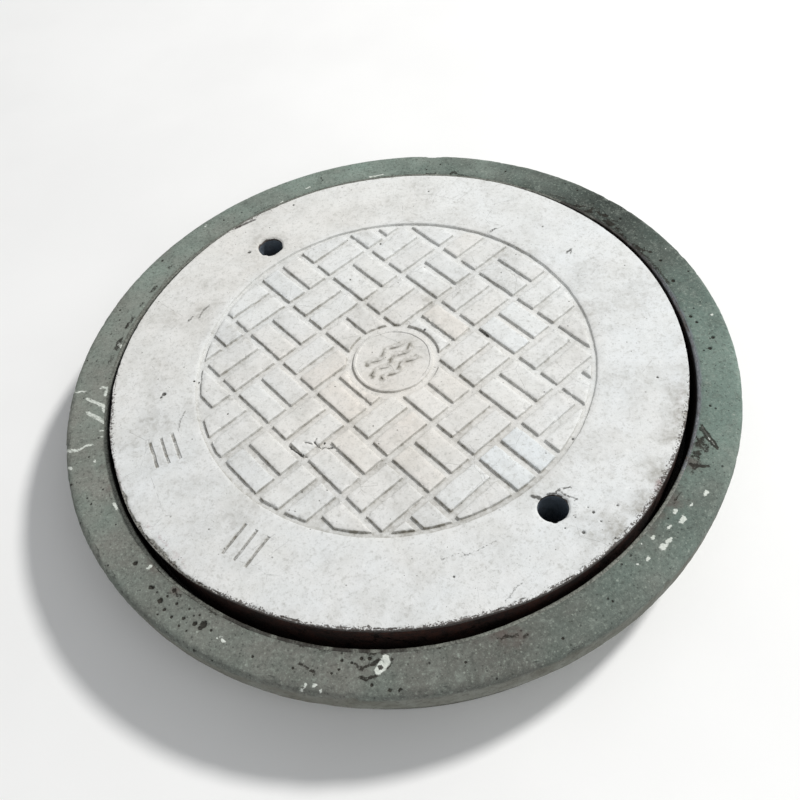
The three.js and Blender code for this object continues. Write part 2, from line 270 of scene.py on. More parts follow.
CLOUDS = [  # soft grey stains: x, y, radius, strength
    (-240, 136, 17, 0.75), (-280, 128, 16, 0.35), (-223, 147, 9, 0.5), (-276, 60, 20, 0.25), (-252, -30, 24, 0.30), (-306, -30, 16, 0.35), (293, 32, 26, 0.30),
    (255, 32, 15, 0.28), (250.9, 87.8, 14, 0.34), (308, 83, 20, 0.25), (281, 210, 20, 0.2), (60, 88, 18, 0.30), (60, -121, 20, 0.30),
    (-60, -100, 30, 0.25), (139, -205, 22, 0.30), (-200, -180, 32, 0.20), (-152, 258, 20, 0.3), (195, 240, 22, 0.25), (-90, 318, 26, 0.22),
    (110, 26, 14, 0.3), (315, -110, 24, 0.22), (-325, -60, 20, 0.28), (14, 87, 10, -0.4), (-109, 87, 16, -0.5), (-330, 70, 20, 0.2),
]
DAMAGE_C = (-106.0, -110.0)
CRACKS = [  # polyline, half width, depth
    ([(-135.0, -101.4), (-133.4, -104.5)], 1.3, 1.3), ([(-133.4, -104.5), (-130.9, -108.0), (-125.8, -113.9), (-122.1, -118.0)], 0.9, 1.4),
    ([(-122.1, -118.0), (-116.1, -121.2)], 0.7, 1.2), ([(-117.0, -102.0), (-113.3, -103.2), (-109.2, -105.4)], 0.8, 1.3),
    ([(-102.6, -99.1), (-106.2, -104.0)], 0.7, 0.9), ([(-106.4, -103.8), (-102.8, -108.9)], 1.3, 1.7),
    ([(-102.8, -108.9), (-98.1, -113.0), (-92.8, -113.8), (-86.2, -114.0)], 1.0, 1.5)]


def cover_top_height(x, y):
    """Height of the cover's top over its highest plane, from 0 down, in mm."""
    r = np.hypot(x, y)
    th = np.arctan2(y, x)
    d_block, _ = block_field(x, y)
    d = np.minimum(d_block, (PANEL_R - r) / (1 + 2.6 * lobe(th, -6, 34, 4) + 1.2 * lobe(th, 168, 28, 4)))
    worn = 0.55 + 0.9 * fbm(x, y, 26, 5, 3)
    h = -0.45 * smooth(-1.05, -0.2, d) * worn
    h = h - (RELIEF - 0.45 * worn - 0.2) * smooth(-0.22, 0.5, d) - 0.2 * smooth(0.5, 1.3, d)
    # knocks along the blocks' edges
    nick = smooth(0.80, 0.93, vnoise(x, y, 6.5, 31)) * smooth(-3.4, -0.6, d) * (d < 0.3) * (r < 246)
    h = h - 1.3 * nick
    # grit left lying in the grooves
    h = h + 0.45 * smooth(0.4, 0.9, fbm(x, y, 9, 77, 2)) * smooth(0.3, 1.6, d) * (r < 246.5)
    # plain disc with its rim, and the raised waves on it
    dc = r - BADGE_R
    badge = -0.6 - 0.3 * smooth(-0.9, -0.1, dc) - (RELIEF - 0.9 - 0.15) * smooth(-0.2, 0.5, dc) - 0.15 * smooth(0.5, 1.2, dc)
    badge = np.where(dc < -2.8, -0.6 - 1.0 * smooth(-3.1, -4.0, dc), badge)
    dw = wave_field(x, y)
    wave = -1.7 + 1.68 * (1 - smooth(-0.5, 0.3, dw))
    badge = np.where((dw < 0.8) & (r < 45), np.maximum(badge, wave), badge)
    h = np.where(dc < 1.3, np.maximum(h, badge), h)
    # shallow cast marks on the rim, worn at their ends
    dm = mark_field(x, y)
    h = h - (1.05 + 0.5 * fbm(x, y, 18, 41, 2)) * (1 - smooth(-1.0, 0.35, dm))
    # general unevenness of a worn casting, never above the plane
    h = h - 0.34 * fbm(x, y, 75, 11, 3) - 0.12 * fbm(x, y, 8, 13, 2)
    # trowel lines along the rim
    h = h - 0.09 * vnoise(r * 4.0, th * 60, 8, 19) * smooth(249, 256, r)
    for px, py, pr, depth in PITS:
        q = np.hypot(x - px, y - py)
        wob = 1 + 0.35 * (vnoise(x, y, 2.2, 51) - 0.5)
        h = h - depth * (1 - smooth(0.35, 1.15, q / (pr * wob)))
    # scabbed spot across two blocks: a shallow broken hollow, a lump in the groove, cracks round it
    q = np.hypot((x - DAMAGE_C[0]) / 19.0, (y - DAMAGE_C[1]) / 11.0)
    rag = q + 0.9 * (fbm(x, y, 6.0, 61, 3) - 0.5)
    scab = 1 - smooth(0.6, 1.0, rag)
    lump = 1 - smooth(0.6, 1.15, np.hypot((x + 116.0) / 14.0, (y + 109.0) / 9.5) + 0.5 * (vnoise(x, y, 4.0, 67) - 0.5))
    fill = -1.0 + 0.8 * (fbm(x, y, 5.0, 69, 2) - 0.5)
    h = np.where((lump > 0.02) & (h < fill), h + (fill - h) * lump, h)
    h = h - scab * 0.9 * fbm(x, y, 4.5, 63, 2)
    for pts, half, depth in CRACKS:
        h = h - depth * (1 - smooth(half * 0.5, half + 0.9, seg_dist(x, y, pts)))
    # lifting holes: rounded, knocked mouths
    for k, (hx, hy) in enumerate(HOLES):
        dh = np.hypot(x - hx, y - hy) - HOLE_R
        h = h - 1.5 * (1 - smooth(-0.2, 2.2, dh)) - 0.3 * (1 - smooth(1.5, 7.0, dh))
        ang = np.arctan2(y - hy, x - hx)
        bite = smooth(0.55, 0.85, vnoise(np.cos(ang) * 17 + 300 * k, np.sin(ang) * 17, 6.0, 83))
        h = h - bite * 1.6 * (1 - smooth(0.0, 3.4, dh))
        if k == 1:
            side = np.exp(-((np.angle(np.exp(1j * (ang - 2.35)))) / 0.55) ** 2)
            h = h - side * 2.4 * (1 - smooth(0.0, 4.2, dh)) * (0.6 + 0.8 * vnoise(x, y, 3.0, 87))
    # broken outer edge, and the worn shoulder on the left
    h = h - edge_break(r, th)[0]
    worn, _ = shoulder(x, y, th, LIP_R - r)
    h = h - worn * (0.5 + 2.2 * fbm(x, y, 5.0, 361, 2))
    return h


def shoulder(x, y, th, e):
    """(worn-away share, width) of the ragged shoulder along the left of the near edge."""
    part = lobe(th, -147, 22, 4) * (0.45 + 0.55 * lobe(th, -146, 15, 4))
    cx, cy = np.cos(th) * 350, np.sin(th) * 350
    width = 0.4 + part * (3.0 + 4.4 * smooth(0.3, 0.75, vnoise(cx, cy, 11, 363)) * (0.5 + 0.8 * vnoise(cx, cy, 3.5, 365)))
    q = e + 1.6 * (fbm(x, y, 3.6, 367, 2) - 0.5)
    return part * (1 - smooth(0.45 * width, width, q)), width


NEAR_ARC = math.radians(-100)


def edge_break(r, th):
    """(depth lost at the outer edge, how chipped that direction is)."""
    e = LIP_R - r
    near = np.exp(-((np.angle(np.exp(1j * (th - NEAR_ARC)))) / 1.0) ** 4)
    left_far = np.exp(-((np.angle(np.exp(1j * (th - math.radians(118))))) / 0.25) ** 2)
    side = np.exp(-((np.angle(np.exp(1j * (th - math.radians(178))))) / 0.35) ** 2)
    weight = np.clip(0.28 + 0.75 * near + 0.25 * left_far + 0.3 * side, 0, 1.1)
    cx, cy = np.cos(th) * LIP_R, np.sin(th) * LIP_R
    big = smooth(0.50, 0.85, vnoise(cx, cy, 13, 91))
    small = smooth(0.42, 0.82, vnoise(cx, cy, 4.6, 93))
    rare = smooth(0.74, 0.92, vnoise(cx, cy, 34, 97))
    notch = np.exp(-((np.angle(np.exp(1j * (th - math.radians(-127.6))))) * 350 / 4.0) ** 2)
    amp = weight * (0.22 + 0.75 * small + 0.9 * big * small + 1.1 * rare * near) + 2.2 * notch
    width = 1.1 + 1.7 * vnoise(cx, cy, 8, 95) + 3.0 * rare * near + 2.0 * notch
    return amp * (1 - smooth(0.1, 1.0, e / width)), amp


# ------------------------------------------------------------------ wear and dirt on the frame
F_PITS = [(-315.9, -215.5, 3.4, 2.2), (-298.0, -247.8, 2.6, 1.8), (-286.6, -265.5, 3.6, 2.2), (-295.4, -248.6, 2.4, 1.6), (-281.8, -276.7, 2.2, 1.5),
          (-268.7, -272.4, 2.0, 1.4), (-273.9, -286.7, 1.9, 1.3), (-261.2, -290.3, 2.3, 1.5), (-249.2, -298.6, 3.0, 2.0), (-240.0, -300.9, 4.6, 2.4),
          (-243.5, -304.5, 3.0, 1.8), (-249.7, -327.0, 2.0, 1.3), (-271.7, -256.3, 3.0, 1.5), (-255.0, -281.0, 1.6, 1.1), (-266.0, -298.0, 1.7, 1.1),
          (-258.0, -305.0, 1.4, 1.0), (-232.0, -309.0, 1.8, 1.2), (-289.0, -281.0, 1.5, 1.0), (-279.0, -262.0, 1.6, 1.1), (-244.0, -290.0, 1.5, 1.0),
          (368.4, 99.7, 2.6, 1.8), (372.3, 60.2, 3.0, 1.8), (373.6, -3.6, 2.4, 1.8), (377.4, -14.0, 2.3, 1.6), (388.0, -42.0, 2.7, 1.9), (378.7, -57.9, 2.6, 1.8),
          (-100.5, -364.7, 1.9, 1.4), (-104.5, -373.5, 1.5, 1.2), (-81.0, -366.4, 2.2, 1.5), (-72.9, -367.4, 2.6, 1.7), (-91.0, -369.0, 1.6, 1.2), (-73.9, -394.5, 2.0, 1.4),
          (-56.9, -402.4, 2.2, 1.4), (-46.9, -403.5, 2.0, 1.3), (-112.0, -376.0, 1.6, 1.1), (396, 72, 1.6, 1.0), (341, 190, 2.0, 1.4), (-398, -96, 2.6, 1.4),
          (-372, -128, 1.8, 1.2), (-395, 98, 1.7, 1.2), (118, -381, 1.8, 1.2), (176, -352, 1.6, 1.1), (350, -140, 1.8, 1.2), (210, 330, 1.8, 1.2),
          (-60, 388, 1.7, 1.1), (120, 372, 1.8, 1.2), (-210, 330, 1.8, 1.2), (-300, 265, 2.0, 1.2), (-356, 180, 1.8, 1.2), (-240, -340, 1.9, 1.2),
          (20, -388, 1.7, 1.1), (300, 262, 1.6, 1.0), (-380.0, -60.0, 1.5, 1.0), (-384.0, -150.0, 1.6, 1.0), (-150.0, -364.0, 1.7, 1.1), (-190.0, -345.0, 1.8, 1.2)]
SCUFFS = [  # pale cement splashes and scrapes: polyline, half width
    ([(-389.5, 31.1), (-376.0, 21.7), (-362.5, 11.8)], 3.2), ([(-376.0, 21.7), (-369.0, 14.0), (-365.0, 6.5)], 3.0),
    ([(-387.7, 8.7), (-374.1, -2.5), (-363.5, -11.8)], 3.6), ([(-373.9, 45.7), (-364.0, 43.5), (-366.0, 33.0)], 3.4),
    ([(-403.5, 44.3), (-397.0, 46.4), (-392.8, 43.6)], 2.2), ([(-414.0, -42.5), (-404.0, -46.4), (-394.0, -47.7)], 3.4),
    ([(-394.0, -47.7), (-384.0, -42.0), (-374.8, -43.2)], 1.7), ([(-369.5, -24.1), (-364.6, -23.6)], 2.0), ([(-368.5, -32.6), (-364.2, -32.9)], 1.6),
    ([(-412.5, 54.0), (-407.7, 48.2)], 2.8), ([(-404, -70), (-400, -73)], 2.2), ([(-373, -66), (-371, -70)], 1.8),
    ([(-354.0, 117.0), (-350.5, 111.5)], 2.8), ([(-127.1, 343.7), (-121.0, 349.0)], 1.6), ([(-84.7, 368.7), (-78.3, 371.9)], 1.5),
    ([(12.1, 371.3), (32.7, 370.7)], 1.1), 
    ([(-57.2, -369.3), (-56.5, -374.5), (-60.0, -378.8)], 4.6), ([(-62.0, -372.0), (-67.5, -379.0), (-66.5, -384.4)], 2.6), ([(-60.5, -381.0), (-65.5, -383.9)], 2.4),
    ([(-221.6, -322.4), (-217.0, -325.0)], 1.2), ([(-226.0, -319.0), (-221.0, -318.0)], 0.6),
    ([(304.6, -252.0), (308.0, -248.6)], 2.5), ([(266.5, -267.0), (269.5, -263.5)], 2.6), ([(269.5, -278.8), (274.0, -275.4)], 3.4),
    ([(249.0, -298.0), (253.0, -295.8)], 2.6), ([(239.0, -305.0), (244.5, -301.8)], 3.8), ([(234.4, -292.0), (237.0, -290.1)], 2.0),
    ([(222.4, -314.4), (225.6, -311.6)], 2.2), ([(210.4, -318.2), (212.2, -316.4)], 1.6), ([(221.3, -296.8), (223.0, -295.0)], 1.3),
    ([(255.0, -283.0), (258.0, -281.0)], 1.4), ([(286.0, -262.0), (289.0, -259.6)], 1.2), ([(-300.8, -224.6), (-298.4, -222.4)], 2.1),
    ([(-140.0, -384.0), (-137.6, -382.6)], 2.0), ([(-146.0, -388.0), (-143.6, -386.6)], 1.4), ([(-131.0, -386.0), (-129.0, -385.0)], 1.3),
    ([(-125, -391), (-123, -390)], 1.2), ([(331.0, -167.0), (333.2, -181.0), (336.4, -192.0)], 0.6),
    ([(398, -8), (400, -6)], 1.2), ([(381, 118), (383, 120)], 1.2), ([(-238, 322), (-235, 325)], 1.8), ([(-174, 372), (-170, 374)], 1.6),
    ([(-344.5, -133.0), (-341.0, -141.0)], 2.2),
]
DARKS = [  # black moss, dirt and dead grass on the frame: polyline, half width, strength
    ([(300.0, 222.0), (307.1, 214.1), (315.0, 203.0), (322.0, 191.3)], 6.5, 0.60), ([(317, 207), (325.3, 196)], 4.5, 0.58), ([(322.2, 189.3), (329.3, 175.2), (336.0, 160.9)], 4.2, 0.60),
    ([(336.0, 158.9), (343.0, 142.6)], 4.6, 0.56), ([(343.6, 137.4), (351.6, 119.7)], 3.0, 0.62), ([(346.6, 131.4), (353.6, 122.7), (360.6, 117.0)], 2.2, 0.64), ([(352.1, 112.7), (361.5, 79.2), (366.0, 54.0)], 1.8, 0.52),
    ([(290.0, 231.0), (302.0, 224.0)], 3.2, 0.48), ([(262, 264), (279, 249)], 2.6, 0.48), ([(309.0, 221.0), (318.0, 216.0)], 2.0, 0.52), ([(329.0, 190.0), (335.5, 186.0)], 1.8, 0.52),
    ([(331.6, -163.0), (333.4, -176.0), (337.2, -189.0), (337.9, -199.5)], 1.2, 0.80), ([(328.5, -166.0), (330.8, -181.5), (335.2, -194.0)], 0.9, 0.70), ([(333.9, -191.0), (337.2, -199.5)], 2.2, 0.74),
    ([(324.5, -176.0), (321.0, -190.0), (311.0, -205.0)], 7.0, 0.46), ([(326.3, -190.6), (327.5, -196.0), (324.0, -199.0)], 2.8, 0.56),
    ([(303.2, -211.4), (309.0, -215.5), (319.4, -218.9)], 1.9, 0.74), ([(308.0, -214.0), (300.0, -222.5)], 1.6, 0.56), ([(315.0, -206.0), (309.5, -213.0)], 1.6, 0.48),
    ([(-143.2, -360.1), (-136.0, -366.0), (-129.1, -372.9)], 1.0, 0.62), ([(-88.2, -370.5), (-85.0, -374.0), (-81.8, -377.8)], 1.9, 0.62), ([(-81.6, -376.4), (-73.1, -374.5), (-64.4, -370.8)], 1.5, 0.74), ([(-84.6, -385.2), (-77.1, -388.0), (-71.4, -386.8), (-67.0, -386.0)], 1.8, 0.74),
    ([(-56.8, -380.8), (-52.2, -375.8), (-51.2, -371.0)], 0.9, 0.56), ([(-64.6, -376.6), (-63.4, -378.4)], 0.9, 0.85), ([(63.9, -369.7), (70.0, -371.0), (74.5, -370.4)], 2.4, 0.60), ([(55.0, -370.0), (62.0, -370.5)], 1.4, 0.55), ([(80.8, -373.3), (84.8, -371.3)], 1.8, 0.62),
    ([(-271.5, -259.5), (-264.9, -265.6)], 2.6, 0.50), ([(-276.0, -258.5), (-270.0, -262.0)], 1.4, 0.48),
    ([(-345.0, -117.0), (-351.5, -120.0), (-346.0, -132.0)], 1.4, 0.38), ([(-351.0, 120.0), (-356.0, 106.0)], 2.4, 0.50), ([(-361.0, 98.0), (-365.0, 84.0)], 2.6, 0.46),
    ([(88.9, 354.8), (95.8, 355.3), (104.4, 352.5), (110.6, 353.6)], 1.1, 0.60), ([(130.4, 345.9), (137.2, 350.7), (139.8, 344.0)], 1.7, 0.62), ([(141.6, 341.2), (152.6, 335.6), (160.7, 331.0)], 1.1, 0.58), ([(135.0, 354.9), (139.7, 356.0)], 1.0, 0.50),
    ([(-164, 334), (-150, 341), (-136, 346)], 2.0, 0.42), ([(-404.0, -92.0), (-399.5, -98.0)], 2.6, 0.45),
    ([(-343.0, 152.0), (-352.0, 128.0)], 3.2, 0.62), ([(-340.0, 153.0), (-337.0, 163.0)], 2.2, 0.54), ([(-354.0, 122.0), (-359.0, 107.0)], 2.8, 0.60), ([(-314.0, 205.0), (-306.0, 215.0)], 2.2, 0.56),
    ([(-291.0, 247.0), (-284.0, 254.0)], 1.8, 0.52), ([(-361.0, 143.0), (-372.0, 134.0)], 3.1, 0.40), ([(-330.0, 178.0), (-324.0, 188.0)], 1.6, 0.48), ([(270.1, -255.1), (281.5, -243.3)], 1.6, 0.50),
]
BROWNS = [  # rusty and earthy stains: x, y, radius, strength
    (66, -372, 16, 0.75), (84, -374, 12, 0.4), (-272, -256, 7, 0.75), (-75, -378, 12, 0.5), (-20, -378, 20, 0.30), (-110, -370, 14, 0.30), (323, -190, 15, 0.45), (-296, -228, 15, 0.30), (-266, -258, 16, 0.32), (-362, -78, 9, 0.45), (-352, -112, 9, 0.40),
    (269.1, -251.5, 16, 0.55), (252.3, -263.2, 14, 0.50), (234.4, -279.2, 14, 0.42), (299.6, -212.4, 12, 0.40), (216.2, -297.2, 13, 0.30), (-33.0, 399.7, 14, 0.40), (-10.3, 410.6, 10, 0.30), (-92.4, 386.8, 14, 0.30),
    (309, -214, 14, 0.42), (290, -262, 14, 0.3), (300, 222, 18, 0.35), (-344, 160, 18, 0.25), (-160, 360, 18, 0.30), (-370, 120, 14, 0.25),
    (200, -315, 20, 0.2), (-395, 70, 12, 0.2), (130, -352, 16, 0.25),
]


def frame_top_height(x, y):
    """Height of the frame's top over its highest plane, from 0 down."""
    r = np.hypot(x, y)
    th = np.arctan2(y, x)
    h = -0.30 * fbm(x, y, 60, 111, 3) - 0.16 * fbm(x, y, 7, 113, 2)
    for px, py, pr, depth in F_PITS:
        q = np.hypot(x - px, y - py) / (pr * (1 + 0.4 * (vnoise(x, y, 2.4, 151) - 0.5)))
        h = h - depth * (1 - smooth(0.35, 1.15, q))
    # a broken-out spall with pale stone in it
    q = np.hypot((x + 62.0) / 10.0, (y + 376.0) / 6.0) + 0.7 * (fbm(x, y, 5, 161, 2) - 0.5)
    h = h - 1.5 * (1 - smooth(0.8, 1.1, q))
    # inner edge against the steel: crumbled in places
    e = r - opening_shift(th) - (WALL_TOP_R + ANGLE_T + 0.15)
    cx, cy = np.cos(th) * 370, np.sin(th) * 370
    crumble = smooth(0.5, 0.85, vnoise(cx, cy, 12, 171)) * smooth(0.4, 0.8, vnoise(cx, cy, 4.5, 173))
    h = h - (0.35 + 1.1 * crumble) * (1 - smooth(0.0, 3.6, e))
    return h


# ------------------------------------------------------------------ mesh assembly
class Build:
    def __init__(self):
        self.v, self.f, self.n = [], [], 0

    def add(self, pts, faces):
        """pts Nx3; faces an array of rows of point numbers. Returns the first new number."""
        base = self.n
        self.v.append(np.asarray(pts, float).reshape(-1, 3))
        self.n += len(self.v[-1])
        for block in faces if isinstance(faces, list) else [faces]:
            if len(block):
                self.f.append(np.asarray(block, int) + base)
        return base

    def link(self, rows):
        """Faces given in global numbers."""
        if len(rows):
            self.f.append(np.asarray(rows, int))

    def strip(self, a, b, closed=True, flip=False):
        """Quads between two loops of the same length, given as global numbers."""
        a, b = np.asarray(a), np.asarray(b)
        if closed:
            q = np.stack([a, np.roll(a, -1), np.roll(b, -1), b], 1)
        else:
            q = np.stack([a[:-1], a[1:], b[1:], b[:-1]], 1)
        self.link(q[:, ::-1] if flip else q)

    def points(self):
        return np.concatenate(self.v)

    def mesh(self, name, flat_angle=38, merge=False):
        v = self.points() * MM
        faces = [tuple(row) for block in self.f for row in block.tolist()]
        me = bpy.data.meshes.new(name)
        me.from_pydata(v.tolist(), [], faces)
        me.validate(clean_customdata=False)
        me.update()
        ob = bpy.data.objects.new(name, me)
        bpy.context.scene.collection.objects.link(ob)
        soften(ob, flat_angle)
        return ob


def soften(ob, angle=38):
    ob.data.shade_smooth()
    if angle:
        ob.data.set_sharp_from_angle(angle=math.radians(angle))


def outward(ob):
    """Turns the faces so that the enclosed volume is positive."""
    me = ob.data
    co = np.empty(len(me.vertices) * 3)
    me.vertices.foreach_get("co", co)
    co = co.reshape(-1, 3)
    me.calc_loop_triangles()
    tri = np.empty(len(me.loop_triangles) * 3, np.int32)
    me.loop_triangles.foreach_get("vertices", tri)
    tri = tri.reshape(-1, 3)
    vol = np.einsum("ij,ij->i", co[tri[:, 0]], np.cross(co[tri[:, 1]], co[tri[:, 2]])).sum() / 6
    if vol < 0:
        me.flip_normals()
    return ob


def circle(cx, cy, r, n, phase=0.0):
    t = phase + np.arange(n) * 2 * math.pi / n
    return np.stack([cx + r * np.cos(t), cy + r * np.sin(t)], 1)


def jitter_grid(x0, x1, y0, y1, step, rng, amount=0.28):
    rows = []
    dy = step * math.sqrt(3) / 2
    for k, y in enumerate(np.arange(y0, y1, dy)):
        xs = np.arange(x0 + (step / 2 if k % 2 else 0), x1, step)
        rows.append(np.stack([xs, np.full(len(xs), y)], 1))
    p = np.concatenate(rows)
    return p + rng.uniform(-amount, amount, p.shape) * step


class Plan:
    """Points and constraint lines for one triangulated face."""

    def __init__(self):
        self.pts, self.edges = [], []

    def line(self, p, closed=False):
        base = len(self.pts)
        self.pts.extend(map(tuple, np.asarray(p, float)))
        n = len(p)
        self.edges.extend((base + k, base + k + 1) for k in range(n - 1))
        if closed:
            self.edges.append((base + n - 1, base))
        return list(range(base, base + n))

    def cloud(self, p):
        self.pts.extend(map(tuple, np.asarray(p, float)))

    def thin(self, p, gap):
        """Points of p that are at least gap from every point so far; gap is a number or one for each point."""
        tree = KDTree(len(self.pts))
        for k, q in enumerate(self.pts):
            tree.insert((q[0], q[1], 0), k)
        tree.balance()
        gaps = np.broadcast_to(gap, (len(p),))
        keep = [k for k, q in enumerate(p) if tree.find((q[0], q[1], 0))[2] >= gaps[k]]
        return p[keep]

    def solve(self):
        out = delaunay_2d_cdt([Vector(p) for p in self.pts], self.edges, [], 0, 1e-4, True)
        xy = np.array([(v.x, v.y) for v in out[0]])
        tri = np.array([f for f in out[2]], int)
        where = np.full(len(self.pts), -1)
        for k, sources in enumerate(out[3]):
            for s in sources:
                where[s] = k
        return xy, tri, where


def resample(a, b, step):
    n = max(1, int(math.ceil(math.hypot(b[0] - a[0], b[1] - a[1]) / step)))
    t = np.linspace(0, 1, n + 1)[:, None]
    return np.asarray(a) * (1 - t) + np.asarray(b) * t


def block_lines(plan, block, offset, step):
    """The block's outline grown by offset, cut by the panel's and the disc's circles."""
    cu, cv, hu, hv = block
    hu, hv = hu + offset, hv + offset
    r_out, r_in = PANEL_CUT_R + offset, BADGE_CUT_R - offset
    corners = [(cu - hu, cv - hv), (cu + hu, cv - hv), (cu + hu, cv + hv), (cu - hu, cv + hv)]
    for a, b in zip(corners, corners[1:] + corners[:1]):
        dx, dy = b[0] - a[0], b[1] - a[1]
        cuts = [0.0, 1.0]
        for rr in (r_out, r_in):
            A, B, C = dx * dx + dy * dy, 2 * (a[0] * dx + a[1] * dy), a[0] ** 2 + a[1] ** 2 - rr * rr
            disc = B * B - 4 * A * C
            if disc > 0:
                for s in (-1, 1):
                    t = (-B + s * math.sqrt(disc)) / (2 * A)
                    if 1e-6 < t < 1 - 1e-6:
                        cuts.append(t)
        cuts.sort()
        for t0, t1 in zip(cuts[:-1], cuts[1:]):
            tm = (t0 + t1) / 2
            rm = math.hypot(a[0] + tm * dx, a[1] + tm * dy)
            if r_in <= rm <= r_out and (t1 - t0) * math.sqrt(dx * dx + dy * dy) > 0.15:
                p = resample((a[0] + t0 * dx, a[1] + t0 * dy), (a[0] + t1 * dx, a[1] + t1 * dy), step)
                x, y = from_weave(p[:, 0], p[:, 1])
                plan.line(np.stack([x, y], 1))
    for rr in (r_out, r_in):
        angles = []
        for axis, lim in ((0, cu - hu), (0, cu + hu), (1, cv - hv), (1, cv + hv)):
            if abs(lim) < rr:
                other = math.sqrt(rr * rr - lim * lim)
                for s in (-1, 1):
                    q = (lim, s * other) if axis == 0 else (s * other, lim)
                    if abs(q[0] - cu) <= hu + 1e-6 and abs(q[1] - cv) <= hv + 1e-6:
                        angles.append(math.atan2(q[1], q[0]))
        angles = sorted(set(round(a, 9) for a in angles))
        for k, a0 in enumerate(angles):
            a1 = angles[(k + 1) % len(angles)]
            if a1 <= a0:
                a1 += 2 * math.pi
            am = (a0 + a1) / 2
            if abs(rr * math.cos(am) - cu) < hu and abs(rr * math.sin(am) - cv) < hv and (a1 - a0) < math.pi:
                n = max(1, int(math.ceil((a1 - a0) * rr / step)))
                t = np.linspace(a0, a1, n + 1)
                x, y = from_weave(rr * np.cos(t), rr * np.sin(t))
                plan.line(np.stack([x, y], 1))


def offset_line(pts, d, step):
    """A closed outline round an open line, at distance d."""
    p = np.asarray(pts, float)
    t = np.gradient(p, axis=0)
    t /= np.linalg.norm(t, axis=1)[:, None]
    nrm = np.stack([-t[:, 1], t[:, 0]], 1)
    left, right = p + nrm * d, p - nrm * d
    return np.concatenate([left, right[::-1]])


def near_points(x, y, r, rng, density=1.1):
    n = max(10, int(math.pi * r * r / (density * density)))
    k = np.arange(n) + 0.5
    rad, ang = r * np.sqrt(k / n), k * 2.399963 + rng.uniform(0, 6)
    return np.stack([x + rad * np.cos(ang), y + rad * np.sin(ang)], 1)


def along_points(pts, half, rng, density=1.5):
    out = []
    for a, b in zip(pts[:-1], pts[1:]):
        length = math.hypot(b[0] - a[0], b[1] - a[1])
        n = max(6, int(length * 2 * half / density ** 2))
        t, s = rng.uniform(0, 1, n), rng.uniform(-1, 1, n) * half
        ux, uy = (b[0] - a[0]) / max(length, 1e-6), (b[1] - a[1]) / max(length, 1e-6)
        out.append(np.stack([a[0] + ux * t * length - uy * s, a[1] + uy * t * length + ux * s], 1))
    return np.concatenate(out)


N_RIM = 960
N_HOLE = 72


